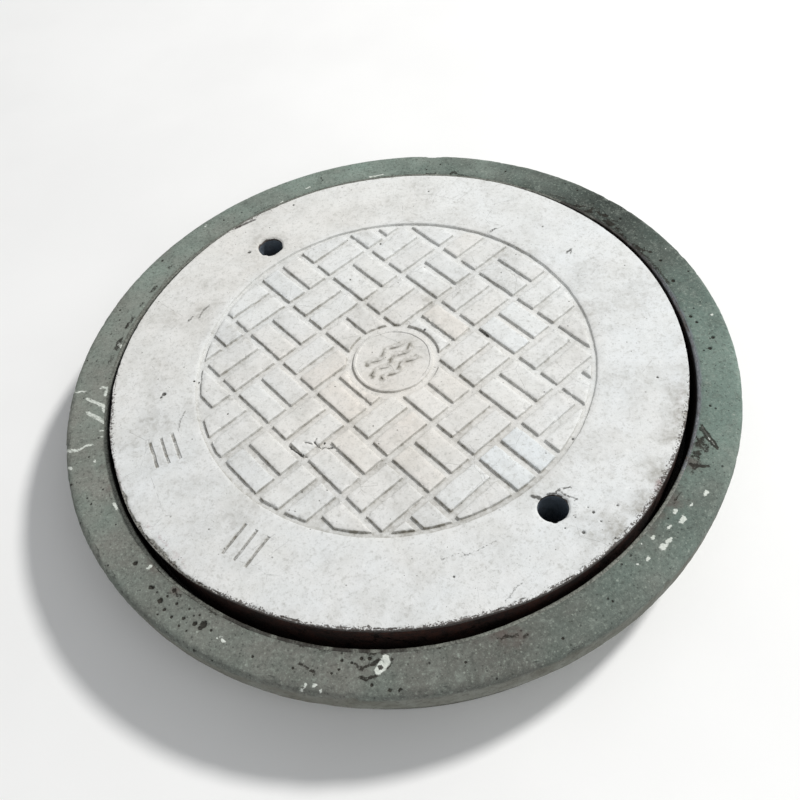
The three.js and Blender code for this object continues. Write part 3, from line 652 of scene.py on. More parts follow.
# ------------------------------------------------------------------ cover slab
def make_slab():
    rng = np.random.default_rng(4711)
    plan = Plan()
    rim = plan.line(circle(0, 0, LIP_R - 0.5, N_RIM), True)
    mouths = [plan.line(circle(hx, hy, HOLE_R, N_HOLE), True) for hx, hy in HOLES]
    for rr, n in ((LIP_R - 1.3, N_RIM), (LIP_R - 2.3, N_RIM), (LIP_R - 3.9, 720), (LIP_R - 6.2, 640), (LIP_R - 9.2, 520)):
        plan.line(circle(0, 0, rr, n, rng.uniform(0, 0.01)), True)
    for hx, hy in HOLES:
        for dr in (0.6, 1.5, 2.6, 4.2):
            plan.line(circle(hx, hy, HOLE_R + dr, N_HOLE if dr < 2 else 54), True)
    for off in (1.05, 0.22, -0.5, -1.3, -2.5, -3.9):
        plan.line(circle(0, 0, PANEL_R + off, 600 if off > -2 else 500), True)
    for off, n in ((-4.0, 150), (-3.1, 150), (-0.95, 170), (-0.2, 170), (0.5, 170), (1.2, 170)):
        plan.line(circle(0, 0, BADGE_R + off, n), True)
    for off in (-1.05, -0.22, 0.5, 1.3):
        for b in BLOCKS:
            block_lines(plan, b, off, 2.7)
    for w in WAVE_LINES:
        for off in (WAVE_W / 2 - 0.5, WAVE_W / 2 + 0.3):
            plan.line(offset_line(w, off, 1.6), True)
    for cx, cy, hl, hw, a in MARKS:
        for off in (-1.0, 0.35):
            x, y = hl + off, hw + off
            loop = np.concatenate([resample(p, q, 1.8)[:-1] for p, q in
                                   (((-x, -y), (x, -y)), ((x, -y), (x, y)), ((x, y), (-x, y)), ((-x, y), (-x, -y)))])
            plan.line(np.stack([cx + loop[:, 0] * math.cos(a) - loop[:, 1] * math.sin(a),
                                cy + loop[:, 0] * math.sin(a) + loop[:, 1] * math.cos(a)], 1), True)

    def inside(p, margin=0.0):
        ok = np.hypot(p[:, 0], p[:, 1]) < LIP_R - 0.9 - margin
        for hx, hy in HOLES:
            ok &= np.hypot(p[:, 0] - hx, p[:, 1] - hy) > HOLE_R + 0.3 + margin
        return p[ok]

    fine = []
    for px, py, pr, _ in PITS:
        fine.append(near_points(px, py, pr * 1.6 + 1.2, rng, 0.95))
    for pts, half, _ in STROKES:
        fine.append(along_points(pts, half + 1.6, rng, 1.5))
    fine.append(near_points(DAMAGE_C[0] - 4, DAMAGE_C[1] + 2, 30, rng, 1.35))
    fine = inside(np.concatenate(fine))
    plan.cloud(plan.thin(fine, 0.55))
    grid = inside(jitter_grid(-350, 350, -350, 350, 3.9, rng), 0.6)
    r = np.hypot(grid[:, 0], grid[:, 1])
    coarse = inside(jitter_grid(-350, 350, -350, 350, 4.5, rng), 0.6)
    rc = np.hypot(coarse[:, 0], coarse[:, 1])
    body = np.concatenate([grid[r < 250], coarse[rc >= 250]])
    plan.cloud(plan.thin(body, 1.45))
    xy, tri, where = plan.solve()
    loop_ids = [where[rim]] + [where[m] for m in mouths]
    # take out the triangles that fill the lifting holes
    mid = xy[tri].mean(1)
    gone = np.zeros(len(tri), bool)
    for (hx, hy), ids in zip(HOLES, loop_ids[1:]):
        gone |= (np.hypot(mid[:, 0] - hx, mid[:, 1] - hy) < HOLE_R) & np.isin(tri, ids).all(1)
    tri = tri[~gone]
    z = TOP + cover_top_height(xy[:, 0], xy[:, 1])
    # outlines wander a little, as cast and worn edges do
    r = np.hypot(xy[:, 0], xy[:, 1])
    fade = smooth(LIP_R - 1, LIP_R - 30, r)
    for hx, hy in HOLES:
        fade = fade * smooth(HOLE_R, HOLE_R + 8, np.hypot(xy[:, 0] - hx, xy[:, 1] - hy))
    dx = ((fbm(xy[:, 0], xy[:, 1], 17, 201, 3) - 0.5) * 1.5 + (vnoise(xy[:, 0], xy[:, 1], 4.5, 205) - 0.5) * 0.35) * fade
    dy = ((fbm(xy[:, 0], xy[:, 1], 17, 203, 3) - 0.5) * 1.5 + (vnoise(xy[:, 0], xy[:, 1], 4.5, 207) - 0.5) * 0.35) * fade
    out = rim_shift(np.arctan2(xy[:, 1], xy[:, 0])) * smooth(LIP_R - 16, LIP_R - 2, r)
    px, py = xy[:, 0] + dx + out * xy[:, 0] / np.maximum(r, 1), xy[:, 1] + dy + out * xy[:, 1] / np.maximum(r, 1)
    b = Build()
    top = b.add(np.stack([px, py, z], 1), tri)
    rim_ids = loop_ids[0] + top
    # outer edge and side
    th = np.arange(N_RIM) * 2 * math.pi / N_RIM
    zr = z[loop_ids[0]]
    amp = edge_break(np.full(N_RIM, LIP_R - 0.5), th)[1]
    prev = rim_ids
    low = TOP - LIP_H
    for t, rr in ((0.22, LIP_R - 0.05), (0.6, LIP_R), (1.0, LIP_R - 0.1)):
        rad = rr + rim_shift(th) - 0.32 * amp * (1 - t) * 1.4 - 0.15 * vnoise(np.cos(th) * 350, np.sin(th) * 350 + 40 * t, 5, 211)
        zz = zr + (low - zr) * t
        ids = b.add(np.stack([rad * np.cos(th), rad * np.sin(th), zz], 1), []) + np.arange(N_RIM)
        b.strip(prev, ids, flip=True)
        prev = ids
    for rr, zz in ((SIDE_R, low), (SIDE_R, BOT + 36), (SIDE_R, BOT + 3)):
        ids = b.add(np.stack([rr * np.cos(th), rr * np.sin(th), np.full(N_RIM, zz)], 1), []) + np.arange(N_RIM)
        b.strip(prev, ids, flip=True)
        prev = ids
    side_ids = prev
    # underside
    plan2 = Plan()
    edge = plan2.line(circle(0, 0, SIDE_R - 3, N_RIM), True)
    bore = [plan2.line(circle(hx, hy, HOLE_R + SLEEVE_T + CLEAR, N_HOLE), True) for hx, hy in HOLES]
    blow = [(rng.uniform(0, 300), rng.uniform(0, 2 * math.pi), rng.uniform(1.2, 3.6)) for _ in range(70)]
    blow = [(a * math.cos(t), a * math.sin(t), s) for a, t, s in blow
            if min(math.hypot(a * math.cos(t) - hx, a * math.sin(t) - hy) for hx, hy in HOLES) > 26]
    plan2.cloud(plan2.thin(np.concatenate([near_points(px, py, s * 1.5, rng, 1.3) for px, py, s in blow]), 0.6))
    g2 = jitter_grid(-345, 345, -345, 345, 6.2, rng)
    g2 = g2[np.hypot(g2[:, 0], g2[:, 1]) < SIDE_R - 5]
    for hx, hy in HOLES:
        g2 = g2[np.hypot(g2[:, 0] - hx, g2[:, 1] - hy) > HOLE_R + SLEEVE_T + 3]
    plan2.cloud(plan2.thin(g2, 2.0))
    xy2, tri2, where2 = plan2.solve()
    mid = xy2[tri2].mean(1)
    gone = np.zeros(len(tri2), bool)
    for (hx, hy), ids in zip(HOLES, bore):
        gone |= (np.hypot(mid[:, 0] - hx, mid[:, 1] - hy) < HOLE_R + SLEEVE_T) & np.isin(tri2, where2[ids]).all(1)
    tri2 = tri2[~gone]
    z2 = BOT + 0.7 * fbm(xy2[:, 0], xy2[:, 1], 55, 221, 3) + 0.35 * fbm(xy2[:, 0], xy2[:, 1], 11, 223, 2)
    for px, py, s in blow:
        z2 = z2 + 0.9 * s * (1 - smooth(0.3, 1.1, np.hypot(xy2[:, 0] - px, xy2[:, 1] - py) / s))
    fade2 = smooth(SIDE_R - 3, SIDE_R - 12, np.hypot(xy2[:, 0], xy2[:, 1]))
    z2 = BOT + (z2 - BOT) * fade2
    under = b.add(np.stack([xy2[:, 0], xy2[:, 1], z2], 1), tri2[:, ::-1])
    b.strip(side_ids, where2[edge] + under, flip=True)
    # walls of the lifting holes
    for k, (hx, hy) in enumerate(HOLES):
        t = np.arange(N_HOLE) * 2 * math.pi / N_HOLE
        ids_top = loop_ids[1 + k] + top
        zt = z[loop_ids[1 + k]]
        prev = ids_top
        for f in (0.45, 1.0):
            rad = HOLE_R + 0.25 * vnoise(np.cos(t) * 17, np.sin(t) * 17 + 90 * k + 20 * f, 4, 231)
            zz = zt + (TOP - MOUTH - zt) * f
            ids = b.add(np.stack([hx + rad * np.cos(t), hy + rad * np.sin(t), zz], 1), []) + np.arange(N_HOLE)
            b.strip(prev, ids)
            prev = ids
        rr = HOLE_R + SLEEVE_T + CLEAR
        for zz in (TOP - MOUTH, BOT + 40, BOT + 6):
            ids = b.add(np.stack([hx + rr * np.cos(t), hy + rr * np.sin(t), np.full(N_HOLE, zz)], 1), []) + np.arange(N_HOLE)
            b.strip(prev, ids)
            prev = ids
        b.strip(prev, where2[bore[k]] + under)
    ob = b.mesh("cover_slab_cast", 0)
    return outward(ob)


def cut(ob, cutter):
    """Boolean difference, applied; the cutter goes."""
    mod = ob.modifiers.new("cut", "BOOLEAN")
    mod.operation = "DIFFERENCE"
    mod.solver = "MANIFOLD"
    mod.object = cutter
    dg = bpy.context.evaluated_depsgraph_get()
    me = bpy.data.meshes.new_from_object(ob.evaluated_get(dg))
    ob.modifiers.clear()
    old = ob.data
    ob.data = me
    bpy.data.meshes.remove(old)
    bpy.data.objects.remove(cutter)
    return ob


def tube_between(b, a, c, r, sides):
    """A plain closed tunnel shape for cutting."""
    a, c = np.array(a, float), np.array(c, float)
    d = (c - a) / np.linalg.norm(c - a)
    s = np.cross(d, [0, 0, 1.0])
    s /= np.linalg.norm(s)
    t = np.cross(s, d)
    ang = (np.arange(sides) + 0.5) * 2 * math.pi / sides
    ringpts = np.cos(ang)[:, None] * s + np.sin(ang)[:, None] * t
    i0 = b.add(a + ringpts * r, []) + np.arange(sides)
    i1 = b.add(c + ringpts * r, []) + np.arange(sides)
    b.strip(i0, i1)
    b.link([tuple(i0[::-1])])
    b.link([tuple(i1)])


# ------------------------------------------------------------------ per-point fields that drive the materials
def write_field(ob, name, values):
    at = ob.data.attributes.get(name) or ob.data.attributes.new(name, "FLOAT", "POINT")
    at.data.foreach_set("value", np.asarray(values, np.float32))


def coords(ob):
    co = np.empty(len(ob.data.vertices) * 3)
    ob.data.vertices.foreach_get("co", co)
    return co.reshape(-1, 3) / MM


WARM_AT = [(79.4, 44.3, 0.9), (57.7, -46.6, 0.5), (19.8, -134.9, 0.75), (-13.0, -162.6, 0.7), (-60.9, -132.0, 0.9), (-124.7, 60.5, 0.55), (-117.9, -31.3, 0.35),
           (-98, 66, 0.5), (30, -75, 0.3), (-60, -60, 0.4)]
COOL_AT = [(116.5, -169.0, 1.5), (167.7, -71.0, 0.5), (186.0, -19.4, 0.5), (157.6, 20.8, 0.5), (-122.4, -97.9, 0.5), (-160.9, -29.7, 0.35), (140, 40, 0.5), (-143, 30, 0.5)]


def cover_fields(ob):
    p = coords(ob)
    x, y, z = p.T
    r, th = np.hypot(x, y), np.arctan2(y, x)
    top = z > TOP - LIP_H - 0.2
    d_block, which = block_field(x, y)
    rng = np.random.default_rng(99)
    warm_b = rng.normal(0, 0.11, len(BLOCKS))
    lum_b = rng.normal(0, 0.45, len(BLOCKS))
    for n, (cu, cv, hu, hv) in enumerate(BLOCKS):
        bx, by = from_weave(cu, cv)
        for wx, wy, s in WARM_AT:
            if math.hypot(bx - wx, by - wy) < 24:
                warm_b[n] += 0.38 * s
        for wx, wy, s in COOL_AT:
            if math.hypot(bx - wx, by - wy) < 22:
                warm_b[n] -= 0.45 * s
                lum_b[n] += 0.5 * s
    zone = np.exp(-((x + 10) / 150) ** 2 - ((y + 45) / 125) ** 2)
    on_block = (d_block < 0.2) & (r < 243)
    warm = 0.62 * zone + 0.35 * (fbm(x, y, 90, 301, 3) - 0.5) + np.where(on_block, warm_b[which], 0) * smooth(0.6, -0.4, d_block)
    warm = warm + smooth(240, 262, r) * (0.45 * lobe(th, 130, 48, 4) - 0.12 * lobe(th, -20, 60, 4))
    warm = warm - 0.15 * smooth(240, 262, r) * (fbm(x, y, 120, 303, 2) - 0.2)
    # random tone per block and in clouds, with painted light: lighter towards the far side, in the upper right of the
    # panel and along the far rim
    tone_and_light = np.where(on_block, lum_b[which], -0.1) + 1.0 * (fbm(x, y, 60, 305, 3) - 0.5) + 0.55 * y / 350 + 0.35 * smooth(60.0, 210.0, 0.72 * x + 0.69 * y) * (r < 246) + smooth(240, 256, r) * (0.75 * lobe(th, 88, 42, 4) + 0.40 * lobe(th, 160, 34, 4))
    write_field(ob, "warm", np.where(top, warm, 0.2))
    write_field(ob, "tone_and_light", np.where(top, tone_and_light, 0.0))
    # soft grey stains
    stain_and_shade = 0.24 * smooth(0.45, 0.8, fbm(x, y, 46, 307, 4))
    for cx, cy, cr, s in CLOUDS:
        stain_and_shade = stain_and_shade + 0.72 * s * np.exp(-((x - cx) ** 2 + (y - cy) ** 2) / (2 * (cr * 0.62) ** 2)) * (0.45 + 1.1 * fbm(x, y, 9, 309, 3))
    outer = smooth(246, 250, r)
    stain_and_shade = stain_and_shade + outer * 0.85 * lobe(th, -38, 22, 4) * (1 - smooth(3.0, 42.0, LIP_R - r)) * smooth(0.30, 0.72, fbm(x, y, 13, 381, 4))
    stain_and_shade = stain_and_shade + outer * (0.12 * lobe(th, 150, 34, 4) + 0.05 * lobe(th, -158, 26, 4) + 0.04 * lobe(th, 95, 26, 4)) * smooth(0.44, 0.70, fbm(x, y, 10, 317, 4))
    stain_and_shade = stain_and_shade + 0.16 * smooth(0.52, 0.74, fbm(x, y, 8, 319, 3))
    # painted shade: the blocks' walls and the floor at their feet darkened, a little everywhere and most on the walls
    # that face away from the key light
    d = np.minimum(d_block, PANEL_R - r)
    foot = smooth(0.0, 0.7, d) * (1 - smooth(1.2, 3.4, d)) * (r < 247.5)
    wall = smooth(-0.5, -0.05, d) * (1 - smooth(0.55, 1.1, d)) * (r < 248)
    dc = np.abs(r - BADGE_R)
    la = math.radians(24)
    step = 0.6
    d2 = np.minimum(block_field(x + step * math.cos(la), y + step * math.sin(la))[0], PANEL_R - np.hypot(x + step * math.cos(la), y + step * math.sin(la)))
    away_shade = np.clip((d - d2) / step, 0, 1)          # painted shade: 1 on walls that face away from the key light, which are painted darker
    rim_wall = d_block > PANEL_R - r
    # painted shade on the panel's rim wall, set by direction round the ring
    away_shade = np.where(rim_wall, 0.10 + 0.95 * lobe(th, 47, 24) + 0.32 * lobe(th, -158, 34), away_shade)
    # less painted shade towards the right and the upper right
    less_shade_right = np.maximum(smooth(10.0, 210.0, 0.72 * x + 0.69 * y), 0.9 * smooth(50.0, 170.0, x))
    away_shade = away_shade * (1 - 0.58 * less_shade_right)
    stain_and_shade = stain_and_shade + (0.04 + 0.95 * away_shade) * wall + (0.10 + 0.30 * away_shade) * foot * (0.5 + fbm(x, y, 22, 311, 2))
    ux, uy = step * math.cos(WEAVE_TURN), step * math.sin(WEAVE_TURN)
    d3 = np.minimum(block_field(x + ux, y + uy)[0], PANEL_R - np.hypot(x + ux, y + uy))
    skim = np.clip((d3 - d) / step, 0, 1)          # painted shade: walls the key light only skims, with a soft band of painted shade on the floor at their feet
    band = np.exp(-np.maximum(d, 0) / 2.6) * smooth(-0.1, 0.2, d)
    stain_and_shade = stain_and_shade + skim * (1 - 0.45 * less_shade_right) * (0.40 * wall + 0.46 * band) * (0.6 + 0.8 * fbm(x, y, 34, 315, 2)) * (r < PANEL_R - 0.3) * (r > BADGE_CUT_R - 1) * ~rim_wall
    # painted shade: the groove floors between the blocks darker, more on the near side and less on the right
    channel = smooth(0.2, 1.0, d_block) * (r < PANEL_R - 0.4) * (r > BADGE_CUT_R - 1)
    stain_and_shade = stain_and_shade + channel * (0.06 - 0.05 * less_shade_right + 0.20 * lobe(th, -100, 60, 4) * smooth(90, 190, r)) * (0.5 + fbm(x, y, 30, 377, 2))
    # painted shade round the disc's edge, darkest on the side away from the key light
    face = np.cos(th - la)
    stain_and_shade = stain_and_shade + (0.15 + 0.75 * np.clip(-face, 0, 1)) * (1 - smooth(0.35, 1.5, np.abs(r - BADGE_R - 0.2)))
    # painted shade: a dark outline round the waves, heaviest on their sides away from the key light
    dw = wave_field(x, y)
    dw2 = wave_field(x + step * math.cos(la), y + step * math.sin(la))
    shade = np.clip((dw - dw2) / step, 0, 1)
    stain_and_shade = stain_and_shade + np.where(r < 45, (0.34 + 1.75 * shade) * (1 - smooth(0.7, 1.9, np.abs(dw - 0.3))) + 0.05, 0) + 0.04 * (r < 50)
    dm0 = mark_field(x, y)
    stain_and_shade = stain_and_shade + 1.0 * (1 - smooth(-1.1, 0.3, dm0)) * (0.45 + 0.9 * fbm(x, y, 8, 313, 2))
    worn, _ = shoulder(x, y, th, LIP_R + rim_shift(th) - r)
    stain_and_shade = stain_and_shade + 0.5 * worn
    # painted shade: a soft dark band on the panel floor along the near rim
    floor_rim = smooth(PANEL_R - 13, PANEL_R - 2, r) * (r < PANEL_R - 0.2)
    stain_and_shade = stain_and_shade + 0.30 * floor_rim * lobe(th, -95, 48, 4) * (0.6 + 0.8 * fbm(x, y, 20, 371, 2))
    side_dust = lobe(th, -148, 13, 4) * smooth(TOP - 0.6, TOP - 2.0, z) * (r > LIP_R - 6)
    # real stains and dust, with the painted shade worked out above
    write_field(ob, "stain_and_shade", np.where(top, stain_and_shade + 0.25 * side_dust, 0.35))
    # hard dark marks
    dark = np.zeros(len(x))
    for px, py, pr, _ in PITS:
        dark = np.maximum(dark, (0.64 if px > 140 and py < -150 else 0.86) * (1 - smooth(0.35, 1.35, np.hypot(x - px, y - py) / pr)))
    for pts, half, s in STROKES:
        q = seg_dist(x, y, pts) + 1.6 * (vnoise(x, y, 3.2, 321) - 0.5)
        dark = np.maximum(dark, s * (1 - smooth(half * 0.5, half + 1.4, q)))
    for pts, half, _ in CRACKS:
        dark = np.maximum(dark, 0.64 * (1 - smooth(half * 0.35, half + 0.7, seg_dist(x, y, pts) + 0.8 * (vnoise(x, y, 2.4, 323) - 0.4))))
    dm = mark_field(x, y)
    dark = np.maximum(dark, (0.27 + 0.22 * fbm(x, y, 9, 43, 2)) * (1 - smooth(-1.0, 0.6, dm)))
    e0 = LIP_R + rim_shift(th) - r
    nearer = np.exp(-((np.angle(np.exp(1j * (th - math.radians(-98))))) / 1.15) ** 4)
    wx, wy = np.cos(th) * 350, np.sin(th) * 350
    dash = smooth(0.40, 0.62, fbm(wx, wy, 10, 345, 3)) * np.exp(-((e0 - 2.7 - 2.6 * (vnoise(wx, wy, 15, 347) - 0.5)) / (0.55 + 0.7 * vnoise(wx, wy, 6, 349))) ** 2)
    dark = np.maximum(dark, 0.85 * nearer * dash)
    write_field(ob, "dark", np.where(top, dark, 0.0))
    # grime eating in from the outer edge and round the lifting holes, with painted shade down the lip's side and in the
    # holes
    e = LIP_R + rim_shift(th) - r
    _, amp = edge_break(r, th)
    near = np.exp(-((np.angle(np.exp(1j * (th - math.radians(-92))))) / 1.25) ** 4)
    cx, cy = np.cos(th) * 350, np.sin(th) * 350
    reach = 0.45 + near * (0.35 + 2.6 * smooth(0.45, 0.85, vnoise(cx, cy, 16, 331)) * smooth(0.35, 0.75, vnoise(cx, cy, 5.5, 333))) + 0.35 * amp
    grime_and_shade = 1 - smooth(0.0, 1.0, e / np.maximum(reach, 0.4) * 0.55)
    fringe = (0.25 + 0.75 * near) * (1 - smooth(0.6, 4.5 + 7.0 * fbm(cx, cy, 22, 335, 2), e))
    left = np.exp(-((np.angle(np.exp(1j * (th - math.radians(-178))))) / 0.30) ** 2) + np.exp(-((np.angle(np.exp(1j * (th - math.radians(120))))) / 0.14) ** 2)
    fringe = np.maximum(fringe, left * (1 - smooth(1.0, 9.0, e)))
    fringe = np.maximum(fringe, 0.95 * lobe(th, -42, 26, 4) * (1 - smooth(1.0, 6.0 + 9.0 * fbm(cx, cy, 18, 353, 2), e)))
    fringe = fringe * (1 - 0.8 * lobe(th, -148, 13, 4) * (e < 1.0))
    write_field(ob, "fringe", np.where(top, np.clip(fringe, 0, 1), 0.0))
    strip = lobe(th, -148, 13, 4)                       # cement still clean down the side here
    low = smooth(TOP - 1.5 - 4.2 * strip, TOP - 4.0 - 4.2 * strip, z) * (r > LIP_R - 8)
    grime_and_shade = grime_and_shade * (1 - 0.30 * (e < 0.5)) * (1 - 0.85 * strip * (e < 1.2))
    # dirt and painted shade: the lip's side darker below the top, most on the near side
    grime_and_shade = np.maximum(grime_and_shade, low * (0.35 + 0.65 * near))
    grime_and_shade = np.maximum(grime_and_shade, worn * (0.10 + 0.30 * vnoise(x, y, 2.2, 373)))
    write_field(ob, "worn", np.where(top, worn, 0.0))
    for k, (hx, hy) in enumerate(HOLES):
        dh = np.hypot(x - hx, y - hy) - HOLE_R
        ang = np.arctan2(y - hy, x - hx)
        g = (0.45 if k else 0.22) * (1 - smooth(0.0, 2.2, dh - 1.8 * (vnoise(np.cos(ang) * 17, np.sin(ang) * 17 + 50 * k, 5, 341) - 0.35))) * (dh > -0.2)
        grime_and_shade = np.maximum(grime_and_shade, g)
        # painted shade: the holes' walls near-black from 2 mm below the top
        grime_and_shade = np.maximum(grime_and_shade, 1.3 * smooth(TOP - 1.9, TOP - 3.2, z) * (dh < 1.0))
    # painted shade: the bores round the bars and sleeves dark; the side behind the band darkened as well
    write_field(ob, "grime_and_shade", np.where(top, grime_and_shade, 0.55 * (r > SIDE_R - 1) + 0.9 * (r < SIDE_R - 10) * (z > BOT + 4)))
    # purple-brown rust bleeding on to the near-right rim and the left rim
    rust = np.zeros(len(x))
    for pts, half, s in (([(227.6, -269.0), (245.8, -251.6), (262.0, -232.0)], 6, 0.36), ([(254, -241), (260, -233)], 4, 0.62), ([(-352, -60), (-340.1, -95.4), (-328.2, -139.0)], 4, 0.5),
                         ([(-300, -176), (-255, -238)], 4, 0.5), ([(300, -165), (330, -100)], 5, 0.35), ([(-160, 262), (-146, 268)], 7, 0.35)):
        q = seg_dist(x, y, pts) + 6 * (fbm(x, y, 9, 351, 2) - 0.5)
        rust = np.maximum(rust, s * (1 - smooth(half * 0.2, half * 1.4, q)))
    write_field(ob, "rust", np.where(top, rust, 0.25 * smooth(SIDE_R - 60, SIDE_R - 5, r) * (z < BOT + 10)))
    write_field(ob, "under", np.where(z < BOT + 12, 1.0, 0.0) * (1 - top))


def frame_fields(ob):
    p = coords(ob)
    x, y, z = p.T
    r, th = np.hypot(x, y), np.arctan2(y, x)
    pale = np.zeros(len(x))
    for pts, half in SCUFFS:
        q = seg_dist(x, y, pts) + 1.3 * (vnoise(x, y, 3.0, 401) - 0.5)
        pale = np.maximum(pale, 1 - smooth(half * 0.35, half + 1.2, q))
    pale = pale * (1 - 0.22 * lobe(th, 180, 14, 6))
    write_field(ob, "pale", np.where(z > ROAD - 6, pale, 0))
    dark = np.zeros(len(x))
    for px, py, pr, _ in F_PITS:
        dark = np.maximum(dark, 0.9 * (1 - smooth(0.35, 1.35, np.hypot(x - px, y - py) / pr)))
    for pts, half, s in DARKS:
        q = seg_dist(x, y, pts) + (6.5 if half > 2.9 else 3.0) * (fbm(x, y, 5.5, 403, 3) - 0.5)
        clump = s if half <= 2.9 else 1.35 * s * smooth(0.43, 0.56, fbm(x, y, 6.5, 417, 3))
        dark = np.maximum(dark, clump * (1 - smooth(half * 0.35, half + 2.0, q)))
    cx, cy = np.cos(th) * 370, np.sin(th) * 370
    edge = r - opening_shift(th) - (WALL_TOP_R + ANGLE_T + 0.1)
    soil = 0.5 + 0.5 * lobe(th, -112, 28, 4) + 0.35 * lobe(th, -168, 9, 4) + 0.4 * lobe(th, 30, 20, 4)
    lip = (1 - smooth(0.0, 3.0 + 3.0 * lobe(th, -112, 28, 4) + 4.0 * lobe(th, -168, 9, 4), edge)) * smooth(0.42, 0.75, fbm(cx, cy, 16, 405, 3))
    dark = np.maximum(dark, 0.60 * soil * lip)
    write_field(ob, "dark", np.where(z > ROAD - 6, dark, 0))
    brown = np.zeros(len(x))
    for bx, by, br, s in BROWNS:
        brown = brown + s * np.exp(-((x - bx) ** 2 + (y - by) ** 2) / (2 * (0.6 * br) ** 2)) * (0.4 + 1.2 * fbm(x, y, 10, 407, 2))
    brown = brown + 0.30 * (1 - smooth(0.0, 10.0, r - 370)) * smooth(0.45, 0.8, fbm(x, y, 34, 409, 3)) * (z > ROAD - 6)
    write_field(ob, "brown", np.clip(brown, 0, 1.2))
    # lavender steel wash along the inner lip on the right; the tone and the green of the paste drift round the ring,
    # and the tone darkens near the opening as painted shade
    lav = 0.7 * (1 - smooth(0.0, 4.5, edge)) * np.exp(-((np.angle(np.exp(1j * (th - math.radians(-4))))) / 0.5) ** 4) * (0.5 + fbm(x, y, 14, 411, 2))
    write_field(ob, "lavender", np.where(z > ROAD - 6, lav, 0))

    tone = 0.80 + 0.30 * lobe(th, 145, 42) + 0.12 * lobe(th, 88, 22) + 0.18 * lobe(th, -162, 18) + 0.10 * lobe(th, -14, 12)
    tone = tone + 0.30 * (fbm(x, y, 24, 419, 4) - 0.5) * (0.5 + 1.3 * lobe(th, 95, 48, 4))
    tone = tone - 0.60 * lobe(th, 33, 18) - 0.14 * lobe(th, 8, 14) - 0.17 * lobe(th, -75, 15) - 0.06 * lobe(th, -42, 14)
    tone = tone + 0.045 * lobe(th, -132, 14) + 0.04 * lobe(th, -56, 12)
    tone = tone - 0.08 * lobe(th, -105, 72, 6) - 0.06 * lobe(th, 60, 14)
    # painted shade: darker within 7 mm of the opening, most on the near left
    tone = tone * (1 - 0.14 * (1 - smooth(0.0, 7.0, edge)) * (0.4 + lobe(th, -122, 40, 4)))
    tone = tone * (1 + 0.30 * (fbm(x, y, 70, 413, 3) - 0.5))
    write_field(ob, "tone", np.where(z > ROAD - 30, tone, 0.85))
    write_field(ob, "green", 0.15 + 0.95 * lobe(th, -12, 38) + 0.30 * lobe(th, -56, 13) + 0.55 * lobe(th, 85, 60) + 0.5 * (fbm(x, y, 50, 415, 3) - 0.5))
    write_field(ob, "hidden", (z < ROAD - 12).astype(float))


# ------------------------------------------------------------------ rings turned from a profile
def dense(profile, step):
    """A closed profile of (radius, height) with extra points, none further apart than step."""
    out = []
    n = len(profile)
    for k in range(n):
        a, b = np.array(profile[k], float), np.array(profile[(k + 1) % n], float)
        m = max(1, int(math.ceil(np.linalg.norm(b - a) / step)))
        out += [a + (b - a) * t / m for t in range(m)]
    return np.array(out)


def rounded(profile, radii, steps=3):
    """Rounds the corners of a closed profile."""
    out = []
    n = len(profile)
    for k, rad in enumerate(radii):
        p, a, b = (np.array(profile[i % n], float) for i in (k, k - 1, k + 1))
        if rad <= 0:
            out.append(p)
            continue
        ua, ub = (a - p) / np.linalg.norm(a - p), (b - p) / np.linalg.norm(b - p)
        s, e = p + ua * rad, p + ub * rad
        for t in np.linspace(0, 1, steps + 1):
            out.append((1 - t) ** 2 * s + 2 * t * (1 - t) * p + t * t * e)
    return [tuple(q) for q in out]


def ring_mesh(name, profile, n, move=None, angle=38):
    """profile: Mx2 closed; move(r, z, theta) gives new (r, z)."""
    th = np.arange(n) * 2 * math.pi / n
    m = len(profile)
    R = np.repeat(profile[:, 0][:, None], n, 1)
    Z = np.repeat(profile[:, 1][:, None], n, 1)
    T = np.repeat(th[None, :], m, 0)
    if move:
        R, Z = move(R, Z, T)
    pts = np.stack([R * np.cos(T), R * np.sin(T), Z], 2).reshape(-1, 3)
    idx = np.arange(m * n).reshape(m, n)
    nxt = np.roll(idx, -1, 0)
    quads = np.stack([idx, np.roll(idx, -1, 1), np.roll(nxt, -1, 1), nxt], 2).reshape(-1, 4)
    b = Build()
    b.add(pts, quads)
    ob = b.mesh(name, angle)
    outward(ob)
    return ob


